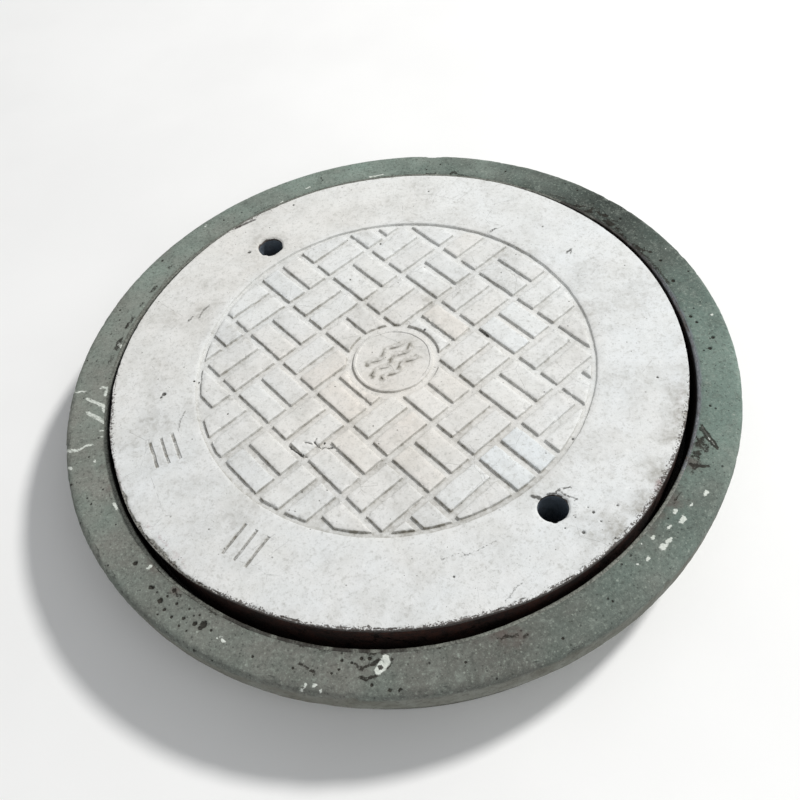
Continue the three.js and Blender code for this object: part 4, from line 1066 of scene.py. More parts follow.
# ------------------------------------------------------------------ frame ring
def make_frame_ring():
    rng = np.random.default_rng(815)
    n = 960
    th = np.arange(n) * 2 * math.pi / n
    wall = lambda zz: WALL_LOW_R + (WALL_TOP_R - WALL_LOW_R) * (zz - SEAT_Z) / (ANGLE_TOP_Z - SEAT_Z)
    r_in, r_out = wall(ROAD) + ANGLE_T + 0.08, FRAME_R - 9
    opening = lambda radius, count: np.stack([(radius + opening_shift(np.arange(count) * 2 * math.pi / count)) * f(np.arange(count) * 2 * math.pi / count) for f in (np.cos, np.sin)], 1)
    from_edge = lambda p: np.hypot(p[:, 0], p[:, 1]) - opening_shift(np.arctan2(p[:, 1], p[:, 0])) - r_in
    plan = Plan()
    inner = plan.line(opening(r_in, n), True)
    outer = plan.line(circle(0, 0, r_out, n), True)
    for dr in (0.9, 2.0, 3.6):
        plan.line(opening(r_in + dr, n if dr < 3 else 720), True)
    fine = [near_points(px, py, pr * 1.6 + 1.0, rng, 1.0) for px, py, pr, _ in F_PITS]
    fine += [along_points(pts, half + 1.6, rng, 1.5) for pts, half in SCUFFS]
    fine += [along_points(pts, half + 2.0, rng, 1.7) for pts, half, _ in DARKS]
    fine = np.concatenate(fine)
    rr = np.hypot(fine[:, 0], fine[:, 1])
    fine = fine[(from_edge(fine) > 0.4) & (rr < r_out - 0.5)]
    plan.cloud(plan.thin(fine, 0.6))
    g = jitter_grid(-410, 410, -410, 410, 3.3, rng)
    rr = np.hypot(g[:, 0], g[:, 1])
    g = g[(from_edge(g) > 1.0) & (rr < r_out - 1.0)]
    plan.cloud(plan.thin(g, 1.4))
    xy, tri, where = plan.solve()
    mid = xy[tri].mean(1)
    gone = (from_edge(mid) < 0) & np.isin(tri, where[inner]).all(1)
    tri = tri[~gone]
    z = ROAD + frame_top_height(xy[:, 0], xy[:, 1])
    b = Build()
    top = b.add(np.stack([xy[:, 0], xy[:, 1], z], 1), tri)
    in_ids, out_ids = where[inner] + top, where[outer] + top
    # the rest of the profile, from the outer edge down, under and up the inside
    wob = lambda k, amp, sc: amp * fbm(np.cos(th) * 400, np.sin(th) * 400 + 37 * k, sc, 501, 3)
    rows = [(FRAME_R - 6.6, ROAD - 0.5), (FRAME_R - 4.5, ROAD - 1.3), (FRAME_R - 2.7, ROAD - 2.8), (FRAME_R - 1.4, ROAD - 5), (FRAME_R - 0.6, ROAD - 8),
            (FRAME_R - 0.15, ROAD - 12), (FRAME_R - 0.3, ROAD - 17), (FRAME_R - 0.6, ROAD - 23), (FRAME_R - 1.0, ROAD - 30), (FRAME_R - 1.5, ROAD - 36),
            (FRAME_R - 3.0, ROAD - 39.5), (FRAME_R - 8, ROAD - 45), (FRAME_R - 14, ROAD - 51), (SKIRT_R + 1.2, ROAD - 56.5), (SKIRT_R, ROAD - 60)]
    rows += [(SKIRT_R - 0.5 * k / 6, 40 - 37 * k / 6) for k in range(1, 7)]
    rows += [(SKIRT_R - 1.2, 1.2), (SKIRT_R - 3, 0.15)]
    rows += [(SKIRT_R - 3 - (SKIRT_R - THROAT_R - 6) * k / 12, 0.0) for k in range(1, 12)]
    rows += [(THROAT_R + 3, 0.15), (THROAT_R + 1, 1.2), (THROAT_R, 3.2)]
    rows += [(THROAT_R, 3.2 + 31 * k / 5) for k in range(1, 5)]
    ledge = SEAT_Z - ANGLE_T - 0.3
    rows += [(THROAT_R + 0.1, ledge - 3), (THROAT_R + 1.1, ledge - 1.2), (THROAT_R + 3, ledge)]
    rows += [(THROAT_R + 3 + (wall(SEAT_Z) + ANGLE_T + CLEAR - THROAT_R - 3) * k / 7, ledge) for k in range(1, 8)]
    rows += [(wall(SEAT_Z) + ANGLE_T + CLEAR, SEAT_Z)]
    rows += [(wall(SEAT_Z + (ROAD - SEAT_Z) * k / 6) + ANGLE_T + CLEAR, SEAT_Z + (ROAD - SEAT_Z) * k / 6 - 0.9 * (k == 6) * 0) for k in range(1, 6)]
    prev = out_ids
    z_out = z[where[outer]]
    for k, (rr, zz) in enumerate(rows):
        inward = 0.0
        if rr > SKIRT_R - 1 and zz > 2:
            inward = 0.25 + wob(k, 0.9, 30) + 0.5 * vnoise(np.cos(th) * 400, np.sin(th) * 400 + 11 * k, 6, 503)
            inward = inward + 2.4 * smooth(0.80, 0.95, vnoise(np.cos(th) * 400, np.sin(th) * 400 + 5 * k, 11, 505)) * (zz > ROAD - 14)
            inward = np.maximum(inward - 0.25, 0)
        rad = rr - inward
        if rr < WALL_TOP_R + 8 and zz > SEAT_Z:
            rad = rad + opening_shift(th) * min(1.0, (zz - SEAT_Z) / (ANGLE_TOP_Z - SEAT_Z))
        if rr <= THROAT_R + 2 and zz > 1:
            rad = rr + 0.8 * fbm(np.cos(th) * 310, np.sin(th) * 310 + 23 * k, 25, 507, 3)
        zcol = np.full(n, zz)
        if k < 3:
            zcol = zcol + (z_out - ROAD) * (0.8, 0.5, 0.2)[k]
        if zz == 0.0:
            zcol = zcol + 0.5 * fbm(np.cos(th) * rr, np.sin(th) * rr, 30, 509, 3) * (12 < k) * 1.0
            zcol = np.maximum(zcol - 0.12, 0.0)
        ids = b.add(np.stack([rad * np.cos(th), rad * np.sin(th), zcol], 1), []) + np.arange(n)
        b.strip(prev, ids, flip=True)
        prev = ids
    b.strip(prev, in_ids, flip=True)
    ob = b.mesh("frame_ring_cast", 0)
    return outward(ob)


HOOPS = {"hoop_lower_inner": (345.0, 23.4), "hoop_lower_outer": (367.0, 23.4), "hoop_upper_inner": (387.3, 78.6), "hoop_upper_outer": (399.0, 78.6)}


def hoop_cutters():
    b = Build()
    for r, z in HOOPS.values():
        ang = np.arange(10) * 2 * math.pi / 10
        th = np.arange(120) * 2 * math.pi / 120
        R = r + 4.35 * np.cos(ang)[:, None]
        Z = z + 4.35 * np.sin(ang)[:, None] + 0 * th
        pts = np.stack([R * np.cos(th), R * np.sin(th), Z], 2).reshape(-1, 3)
        idx = np.arange(10 * 120).reshape(10, 120)
        nxt = np.roll(idx, -1, 0)
        b.add(pts, np.stack([idx, np.roll(idx, -1, 1), np.roll(nxt, -1, 1), nxt], 2).reshape(-1, 4))
    return outward(b.mesh("cut_hoops", 0))


TIE_LINE = [(333.0, 37.0), (333.0, 16.0), (379.0, 16.0), (379.0, 86.0), (404.6, 86.0)]


def bent_path(points, radius, steps=5):
    pts = [np.array(points[0], float)]
    for a, p, c in zip(points[:-2], points[1:-1], points[2:]):
        a, p, c = (np.array(q, float) for q in (a, p, c))
        ua, uc = (a - p) / np.linalg.norm(a - p), (c - p) / np.linalg.norm(c - p)
        s, e, centre = p + ua * radius, p + uc * radius, p + (ua + uc) * radius
        a0 = math.atan2(*(s - centre)[::-1])
        a1 = math.atan2(*(e - centre)[::-1])
        da = (a1 - a0 + math.pi) % (2 * math.pi) - math.pi
        for t in np.linspace(0, 1, steps + 1):
            pts.append(centre + radius * np.array([math.cos(a0 + da * t), math.sin(a0 + da * t)]))
    pts.append(np.array(points[-1], float))
    return np.array(pts)


def sweep_flat(b, path, turn, radius, sides, ends=True, wobble=None):
    """Round section swept along a path that lies in a plane through Z; path is (r, z)."""
    path = np.asarray(path, float)
    t = np.gradient(path, axis=0)
    t /= np.linalg.norm(t, axis=1)[:, None]
    nrm = np.stack([-t[:, 1], t[:, 0]], 1)
    ang = np.arange(sides) * 2 * math.pi / sides
    rings = []
    for k in range(len(path)):
        rad = radius if wobble is None else wobble(k, ang, radius)
        rr = path[k, 0] + nrm[k, 0] * np.cos(ang) * rad
        zz = path[k, 1] + nrm[k, 1] * np.cos(ang) * rad
        off = np.sin(ang) * rad
        x = rr * math.cos(turn) - off * math.sin(turn)
        y = rr * math.sin(turn) + off * math.cos(turn)
        rings.append(b.add(np.stack([x, y, zz], 1), []) + np.arange(sides))
    for a, c in zip(rings[:-1], rings[1:]):
        b.strip(a, c)
    b.link([tuple(rings[0][::-1])])
    b.link([tuple(rings[-1])])


def tie_cutters():
    b = Build()
    for k in range(12):
        line = [(333.0, SEAT_Z - ANGLE_T + 4.0)] + TIE_LINE[1:-1] + [(405.4, 86.0)]
        sweep_flat(b, bent_path(line, 4.6, 3), 2 * math.pi * k / 12, 3.35, 10)
    return outward(b.mesh("cut_ties", 0))


# ------------------------------------------------------------------ reinforcement
def ribbed(name, point, length, core, rib, period, sides, seed, closed=False):
    """A deformed bar: point(s, angle, radius) gives a point; ribs lean, two lengthwise seams."""
    rng = np.random.default_rng(seed)
    rows = []
    count = int(length / period)
    for k in range(count):
        s = k * period
        rows += [(s, core), (s + period * 0.36, core), (s + period * 0.46, rib), (s + period * 0.62, rib), (s + period * 0.74, core)]
    if not closed:
        rows.append((length, core))
    ang = np.arange(sides) * 2 * math.pi / sides
    b = Build()
    rings = []
    for s, rad in rows:
        lean = (0.9 * np.abs(np.sin(ang)) * period * 0.25) if 0.3 * period < s < length - period else 0.0
        seam = 0.35 * (core * 0.12) * (np.abs(np.cos(ang)) > 0.97)
        rr = np.minimum(rad + seam + rng.uniform(-0.04, 0.0), rib)
        rings.append(b.add(point(s + lean, ang, rr), []) + np.arange(sides))
    for a, c in zip(rings[:-1], rings[1:]):
        b.strip(a, c)
    if closed:
        b.strip(rings[-1], rings[0])
    else:
        b.link([tuple(rings[0][::-1])])
        b.link([tuple(rings[-1])])
    return outward(b.mesh(name, 50))


def make_bars():
    out = []
    end_r = BAND_R - BAND_T - 1.4
    for i, v in enumerate(BAR_AT):
        half = math.sqrt(end_r ** 2 - (abs(v) + BAR_R) ** 2)
        for layer, z in (("lower", BAR_LOW_Z), ("upper", BAR_HIGH_Z)):
            if layer == "lower":
                fn = lambda s, a, r, v=v, z=z, h=half: np.stack([-h + s + 0 * a, v - np.cos(a) * r, z + np.sin(a) * r], 1)
            else:
                fn = lambda s, a, r, v=v, z=z, h=half: np.stack([v + np.cos(a) * r, -h + s + 0 * a, z + np.sin(a) * r], 1)
            ob = ribbed(f"{layer}_bar_{i + 1}_ribbed", fn, 2 * half, 4.35, 4.75, 10.0, 10, 600 + i)
            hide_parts(f"{layer}_bar_{i + 1}")
            out.append(ob)
    return out


def make_hoops():
    out = []
    for k, (name, (r, z)) in enumerate(HOOPS.items()):
        length = 2 * math.pi * r
        period = length / round(length / 11.0)

        def fn(s, a, rad, r=r, z=z, length=length):
            t = np.asarray(s) / length * 2 * math.pi + 0 * a
            rr = r + np.cos(a) * rad
            return np.stack([rr * np.cos(t), rr * np.sin(t), z + np.sin(a) * rad], 1)

        ob = ribbed(name + "_ribbed", fn, length + 1e-6, 3.55, 3.9, period, 10, 700 + k, closed=True)
        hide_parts(name)
        out.append(ob)
    return out


def make_ties():
    out = []
    for k in range(12):
        b = Build()
        rng = np.random.default_rng(800 + k)
        path = bent_path(TIE_LINE, 4.6, 6)
        full = [path[0]]
        for p, q in zip(path[:-1], path[1:]):
            m = max(1, int(np.linalg.norm(q - p) / 3.0))
            full += [p + (q - p) * (t + 1) / m for t in range(m)]
        sweep_flat(b, full, 2 * math.pi * k / 12, 2.85, 14, wobble=lambda i, a, r: r - 0.07 * rng.uniform(0, 1) - 0.05 * (1 + np.cos(2 * a)))
        ob = outward(b.mesh(f"frame_tie_{k + 1:02d}_bent", 50))
        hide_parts(f"frame_tie_{k + 1:02d}")
        out.append(ob)
    return out


# ------------------------------------------------------------------ steel round the concrete
def make_band():
    prof = rounded([(BAND_R - BAND_T, BOT + 0.5), (BAND_R, BOT + 0.5), (BAND_R, TOP - LIP_H - CLEAR), (BAND_R - BAND_T, TOP - LIP_H - CLEAR)],
                   [0.4, 0.9, 0.7, 0.4], 3)
    prof = dense(prof, 4.2)

    def move(R, Z, T):
        x, y = np.cos(T) * 350, np.sin(T) * 350
        s = T * 350
        face = smooth(BAND_R - 1.6, BAND_R - 0.4, R)
        dent = 0.35 * smooth(0.45, 0.9, fbm(s, Z, 34, 901, 2)) + 0.20 * smooth(0.5, 0.9, fbm(s, Z, 6, 903, 2))
        scale = 0.30 * smooth(0.62, 0.74, fbm(s, Z * 1.0, 11, 905, 3))          # blistered rust scale
        R = R - face * np.maximum(dent + 0.30 - scale, 0)
        # butt weld of the rolled strip, ground rough
        a = np.angle(np.exp(1j * (T - math.radians(214)))) * 350
        R = R + face * 0.28 * np.exp(-(a / 2.6) ** 2) * (0.6 + 0.5 * np.sin(Z * 1.9))
        inner_room = (R < BAND_R - BAND_T + 0.05)
        R = np.where(inner_room, np.maximum(R, BAND_R - BAND_T), R)
        R = np.minimum(R, BAND_R)
        bulge = 0.6 * np.maximum(rim_shift(T), 0.0)
        bulge = np.minimum(bulge, (BAND_R - 0.1) / np.maximum(np.abs(np.cos(T)), np.abs(np.sin(T))) - BAND_R)
        R = R + face * np.maximum(bulge, 0.0)
        edge = smooth(TOP - LIP_H - CLEAR - 3, TOP - LIP_H - CLEAR, Z)
        Z = Z - edge * 0.5 * smooth(0.35, 0.8, vnoise(x, y, 9, 907))
        return R, Z

    ob = ring_mesh("cover_edge_band_rolled", prof, 840, move, 40)
    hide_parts("cover_edge_band")
    return ob


def make_angle():
    prof = rounded([(ANGLE_IN_R, SEAT_Z - ANGLE_T), (WALL_LOW_R + ANGLE_T, SEAT_Z - ANGLE_T), (WALL_LOW_R + ANGLE_T, SEAT_Z),
                    (WALL_TOP_R + ANGLE_T, ANGLE_TOP_Z), (WALL_TOP_R, ANGLE_TOP_Z), (WALL_LOW_R, SEAT_Z), (ANGLE_IN_R, SEAT_Z)],
                   [1.4, 1.6, 0, 0.15, 1.3, 0.0, 1.3], 3)
    prof = dense(prof, 4.0)

    def move(R, Z, T):
        x, y = np.cos(T) * R, np.sin(T) * R
        s = T * 360
        pit = 0.22 * smooth(0.5, 0.85, fbm(s, Z + R, 7, 921, 3))
        seat = smooth(SEAT_Z - 1.0, SEAT_Z, Z) * (R < WALL_LOW_R - 1)
        Z = Z - seat * pit
        lip = smooth(ANGLE_TOP_Z - 1.4, ANGLE_TOP_Z, Z)
        Z = Z - lip * (0.4 * smooth(0.5, 0.85, vnoise(x, y, 14, 923)) + 0.3 * vnoise(x, y, 4, 925))
        inner = (Z > SEAT_Z + 2) * (R < WALL_LOW_R + (WALL_TOP_R - WALL_LOW_R) * (Z - SEAT_Z) / (ANGLE_TOP_Z - SEAT_Z) + 0.8)
        wall = R > WALL_LOW_R - 1
        R = R + inner * (pit + 0.35 * smooth(0.5, 0.9, vnoise(s, Z, 30, 927)))
        R = R + wall * opening_shift(T) * np.clip((Z - SEAT_Z) / (ANGLE_TOP_Z - SEAT_Z), 0, 1)
        return R, Z

    ob = ring_mesh("seat_angle_rolled", prof, 840, move, 40)
    x, y, z = coords(ob).T
    th = np.arctan2(y, x)
    right = np.exp(-((np.angle(np.exp(1j * (th - math.radians(-8))))) / 0.62) ** 4)
    up = smooth(ANGLE_TOP_Z - 5, ANGLE_TOP_Z - 1.5, z)
    write_field(ob, "cement", up * (1 - 0.92 * right) * (0.75 + 0.5 * vnoise(np.cos(th) * 360, np.sin(th) * 360, 18, 931)))
    # painted shade: the wall in the gap darker from 2.5 mm below its top downward, a little less on the left; soiled
    # adds the dirt round the ring
    deep = smooth(ANGLE_TOP_Z - 2.5, ANGLE_TOP_Z - 11, z) * (0.9 + 0.3 * vnoise(np.cos(th) * 360, z * 2 + th * 100, 14, 933)) * (1 - 0.45 * lobe(th, 166, 16, 4))
    soiled = (0.42 * lobe(th, -112, 26, 4) + 0.12 * lobe(th, -168, 9, 4) + 0.62 * lobe(th, 32, 20, 4) + 0.2) * (0.5 + vnoise(np.cos(th) * 360, np.sin(th) * 360, 9, 935))
    write_field(ob, "deep", np.maximum(deep, soiled))
    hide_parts("seat_angle_ring")
    return ob


def make_sleeves():
    out = []
    for k, (name, (hx, hy)) in enumerate(zip(("lift_hole_sleeve_near", "lift_hole_sleeve_far"), HOLES)):
        prof = rounded([(HOLE_R, BOT + 1), (HOLE_R + SLEEVE_T, BOT + 1), (HOLE_R + SLEEVE_T, TOP - MOUTH - CLEAR), (HOLE_R, TOP - MOUTH - CLEAR)],
                       [0.5, 0.5, 0.5, 0.6], 2)
        prof = dense(prof, 3.0)
        n = 96

        def move(R, Z, T, k=k):
            s = T * 17
            inner = R < HOLE_R + 0.9
            seam = np.exp(-((np.angle(np.exp(1j * (T - 1.1 - 2.4 * k)))) * 17 / 1.1) ** 2)
            R = R + inner * (0.30 * smooth(0.45, 0.85, fbm(s, Z, 5, 941 + k, 3)) + 0.12 * vnoise(s, Z, 14, 945) - 0.0 * seam)
            R = R - inner * 0.0 + inner * (1 - seam) * 0.12
            return R, Z

        ob = ring_mesh(name + "_tube", prof, n, move, 40)
        co = coords(ob)
        co[:, 0] += hx
        co[:, 1] += hy
        ob.data.vertices.foreach_set("co", (co * MM).ravel())
        ob.data.update()
        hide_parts(name)
        out.append(ob)
    return out


# ------------------------------------------------------------------ node helpers
class Nodes:
    def __init__(self, name):
        self.mat = bpy.data.materials.new(name)
        self.mat.use_nodes = True
        self.t = self.mat.node_tree
        self.t.nodes.clear()
        self.out = self.t.nodes.new("ShaderNodeOutputMaterial")
        self.obj = self.t.nodes.new("ShaderNodeTexCoord").outputs["Object"]

    def put(self, socket, value):
        if isinstance(value, bpy.types.NodeSocket):
            self.t.links.new(value, socket)
        else:
            socket.default_value = value

    def attr(self, name):
        n = self.t.nodes.new("ShaderNodeAttribute")
        n.attribute_type = "GEOMETRY"
        n.attribute_name = name
        return n.outputs["Fac"]

    def math(self, op, a, b=None, c=None, clamp=False):
        n = self.t.nodes.new("ShaderNodeMath")
        n.operation = op
        n.use_clamp = clamp
        for k, v in enumerate((a, b, c)):
            if v is not None:
                self.put(n.inputs[k], v)
        return n.outputs[0]

    def add(self, a, b):
        return self.math("ADD", a, b)

    def mul(self, a, b):
        return self.math("MULTIPLY", a, b)

    def ramp(self, v, lo, hi, a=0.0, b=1.0, smooth_step=True):
        n = self.t.nodes.new("ShaderNodeMapRange")
        n.interpolation_type = "SMOOTHSTEP" if smooth_step else "LINEAR"
        n.clamp = True
        for key, val in (("Value", v), ("From Min", lo), ("From Max", hi), ("To Min", a), ("To Max", b)):
            self.put(n.inputs[key], val)
        return n.outputs["Result"]

    def turned(self, angle, along, across, deep):
        """Object coordinates in mm turned about Z and scaled, for streaks."""
        r = self.t.nodes.new("ShaderNodeVectorRotate")
        r.rotation_type = "Z_AXIS"
        self.put(r.inputs["Vector"], self.obj)
        r.inputs["Angle"].default_value = angle
        n = self.t.nodes.new("ShaderNodeVectorMath")
        n.operation = "MULTIPLY"
        self.put(n.inputs[0], r.outputs[0])
        n.inputs[1].default_value = (1000 * along, 1000 * across, 1000 * deep)
        return n.outputs[0]

    def noise(self, size, detail=2.0, rough=0.5, distort=0.0, vec=None, offset=0.0, unit=False):
        """Noise whose features are about size millimetres, 0 to 1."""
        n = self.t.nodes.new("ShaderNodeTexNoise")
        n.noise_dimensions = "3D"
        vec = vec or self.obj
        if offset:
            m = self.t.nodes.new("ShaderNodeVectorMath")
            m.operation = "ADD"
            self.put(m.inputs[0], vec)
            m.inputs[1].default_value = (offset, offset * 0.7, offset * 1.3)
            vec = m.outputs[0]
        self.put(n.inputs["Vector"], vec)
        n.inputs["Scale"].default_value = 1.0 / size if unit else 1000.0 / size
        n.inputs["Detail"].default_value = detail
        n.inputs["Roughness"].default_value = rough
        n.inputs["Distortion"].default_value = distort
        return n.outputs["Fac"]

    def voronoi(self, size, feature="F1", rand=1.0, vec=None):
        n = self.t.nodes.new("ShaderNodeTexVoronoi")
        n.feature = feature
        self.put(n.inputs["Vector"], vec or self.obj)
        n.inputs["Scale"].default_value = 1000.0 / size
        n.inputs["Randomness"].default_value = rand
        return n.outputs

    def mix(self, f, a, b, kind="MIX"):
        n = self.t.nodes.new("ShaderNodeMix")
        n.data_type = "RGBA"
        n.blend_type = kind
        n.clamp_factor = True
        self.put(n.inputs[0], f)
        self.put(n.inputs[6], a)
        self.put(n.inputs[7], b)
        return n.outputs[2]

    def stretch(self, sx, sy, sz):
        n = self.t.nodes.new("ShaderNodeVectorMath")
        n.operation = "MULTIPLY"
        self.put(n.inputs[0], self.obj)
        n.inputs[1].default_value = (sx, sy, sz)
        return n.outputs[0]

    def bump(self, height, strength, distance_mm, normal=None):
        n = self.t.nodes.new("ShaderNodeBump")
        n.inputs["Strength"].default_value = strength
        n.inputs["Distance"].default_value = distance_mm * MM
        self.put(n.inputs["Height"], height)
        if normal is not None:
            self.put(n.inputs["Normal"], normal)
        return n.outputs["Normal"]

    def shader(self, colour, rough, normal=None, metal=None, spec=0.4):
        n = self.t.nodes.new("ShaderNodeBsdfPrincipled")
        self.put(n.inputs["Base Color"], colour)
        self.put(n.inputs["Roughness"], rough)
        if metal is not None:
            self.put(n.inputs["Metallic"], metal)
        n.inputs["Specular IOR Level"].default_value = spec
        if normal is not None:
            self.put(n.inputs["Normal"], normal)
        self.t.links.new(n.outputs[0], self.out.inputs["Surface"])
        return self.mat


def srgb(r, g, b, scale=255.0):
    """A colour given as it looks on a screen."""
    def lin(c):
        c = c / scale
        return c / 12.92 if c <= 0.04045 else ((c + 0.055) / 1.055) ** 2.4
    return (lin(r), lin(g), lin(b), 1.0)


# ------------------------------------------------------------------ materials
def mat_cover():
    m = Nodes("cover_concrete")
    cool, warm = srgb(223, 228, 231), srgb(225, 215, 203)
    warm_f = m.ramp(m.add(m.attr("warm"), m.mul(m.add(m.noise(38, 3, 0.55), -0.5), 0.5)), -0.45, 1.15, 0.0, 1.0, False)
    c = m.mix(warm_f, cool, warm)
    # cloudy cement paste, then fine sand
    cloud = m.noise(24, 4, 0.6, 0.4)
    c = m.mix(m.ramp(cloud, 0.32, 0.78, 0.0, 0.25), c, srgb(193, 194, 188))
    # lighter where the field is high: random tone, and painted light towards the far side and the upper right
    tone_and_light = m.ramp(m.attr("tone_and_light"), -1.2, 1.4, 0.0, 1.0, False)
    c = m.mix(m.mul(tone_and_light, 0.45), c, srgb(238, 240, 238))
    mott = m.noise(5.5, 3, 0.6)
    c = m.mix(m.ramp(mott, 0.53, 0.72, 0.0, 0.42), c, srgb(178, 178, 173))
    c = m.mix(m.ramp(mott, 0.40, 0.26, 0.0, 0.35), c, srgb(243, 244, 242))
    sand = m.noise(1.5, 2, 0.6)
    c = m.mix(m.ramp(sand, 0.57, 0.77, 0.0, 0.30), c, srgb(146, 146, 140))
    c = m.mix(m.ramp(m.noise(3.1, 2, 0.6, offset=8.8), 0.54, 0.74, 0.0, 0.36), c, srgb(164, 164, 160))
    # soft stains, with the painted shade carried in the same field
    stain_and_shade = m.math("MULTIPLY", m.attr("stain_and_shade"), m.ramp(m.noise(7.5, 4, 0.62, 0.5), 0.25, 0.75, 0.35, 1.5))
    c = m.mix(m.math("MULTIPLY", stain_and_shade, 0.62, clamp=True), c, srgb(138, 134, 124))
    # pores: small dark air holes, few and clustered
    v = m.voronoi(7.5)
    here = m.ramp(m.noise(30, 2, 0.5, offset=3.1), 0.50, 0.66)
    pore = m.mul(m.ramp(v["Distance"], 0.10, 0.055), here)
    v2 = m.voronoi(17)
    pore2 = m.mul(m.ramp(v2["Distance"], 0.075, 0.045), m.ramp(m.noise(60, 1, 0.5, offset=7.7), 0.42, 0.60))
    pores = m.math("MAXIMUM", pore, pore2)
    c = m.mix(m.mul(pores, 0.66), c, srgb(84, 80, 72))
    # hair cracks
    cr = m.voronoi(58, "DISTANCE_TO_EDGE", vec=None)
    crack = m.mul(m.ramp(m.add(cr["Distance"], m.mul(m.add(m.noise(9, 3, 0.6), -0.5), 0.05)), 0.0045, 0.0015), m.ramp(m.noise(90, 1, 0.5, offset=5.3), 0.54, 0.62))
    c = m.mix(m.mul(crack, 0.14), c, srgb(120, 117, 108))
    fine = m.noise(1.9, 3, 0.65, offset=1.7)
    # rust bleed
    rust = m.ramp(m.add(m.attr("rust"), m.mul(m.add(m.noise(4.5, 3, 0.6), -0.5), 0.9)), 0.28, 0.9)
    c = m.mix(m.mul(rust, 0.55), c, srgb(150, 112, 118))
    # grey, weathered shoulder of the edge
    worn = m.ramp(m.add(m.attr("worn"), m.mul(m.add(m.noise(3.4, 3, 0.62, offset=6.6), -0.5), 0.9)), 0.28, 0.55)
    bare = m.mix(m.ramp(m.noise(2.7, 3, 0.65, offset=4.1), 0.38, 0.62), srgb(158, 157, 150), srgb(92, 91, 86))
    c = m.mix(m.mul(worn, 0.92), c, bare)
    # hard dark marks, and grime with painted shade
    dark = m.ramp(m.add(m.attr("dark"), m.mul(m.add(fine, -0.5), 0.65)), 0.24, 0.62)
    c = m.mix(m.mul(dark, 0.86), c, srgb(58, 55, 50))
    speck = m.noise(2.6, 3, 0.7, offset=9.1)
    grime_and_shade = m.ramp(m.add(m.attr("grime_and_shade"), m.mul(m.add(speck, -0.5), 1.05)), 0.42, 0.70)
    dots = m.noise(2.0, 2, 0.6, offset=6.3)
    fringe = m.ramp(m.add(dots, m.mul(m.attr("fringe"), 0.30)), 0.74, 0.84)
    clot = m.ramp(m.add(m.noise(4.6, 3, 0.62, offset=2.9), m.mul(m.attr("fringe"), 0.20)), 0.70, 0.78)
    fringe = m.mul(m.math("MAXIMUM", fringe, clot), m.ramp(m.attr("fringe"), 0.02, 0.30))
    grime_and_shade = m.math("MAXIMUM", grime_and_shade, m.mul(fringe, 0.92))
    c = m.mix(m.mul(grime_and_shade, 0.90), c, m.mix(m.noise(8, 2, 0.5), srgb(30, 24, 20), srgb(74, 58, 50)))
    # underside: rougher, greyer and damp
    under = m.mix(m.ramp(m.noise(45, 4, 0.6), 0.3, 0.7), srgb(158, 155, 146), srgb(118, 114, 104))
    under = m.mix(m.ramp(m.noise(3.2, 3, 0.6), 0.52, 0.72, 0.0, 0.5), under, srgb(84, 80, 72))
    under = m.mix(m.ramp(m.noise(130, 3, 0.6, offset=2.2), 0.52, 0.66, 0.0, 0.45), under, srgb(92, 78, 62))
    c = m.mix(m.attr("under"), c, under)
    rough = m.ramp(m.add(m.mul(mott, 0.5), m.mul(grime_and_shade, 0.5)), 0.2, 0.8, 0.80, 0.96)
    hgt = m.add(m.add(m.mul(sand, 0.45), m.mul(mott, 0.8)), m.mul(m.math("ADD", pores, crack), -1.4))
    nrm = m.bump(hgt, 0.55, 0.55)
    nrm = m.bump(m.add(m.mul(dark, -1.0), m.mul(grime_and_shade, -0.7)), 0.5, 0.6, nrm)
    return m.shader(c, rough, nrm, spec=0.3)


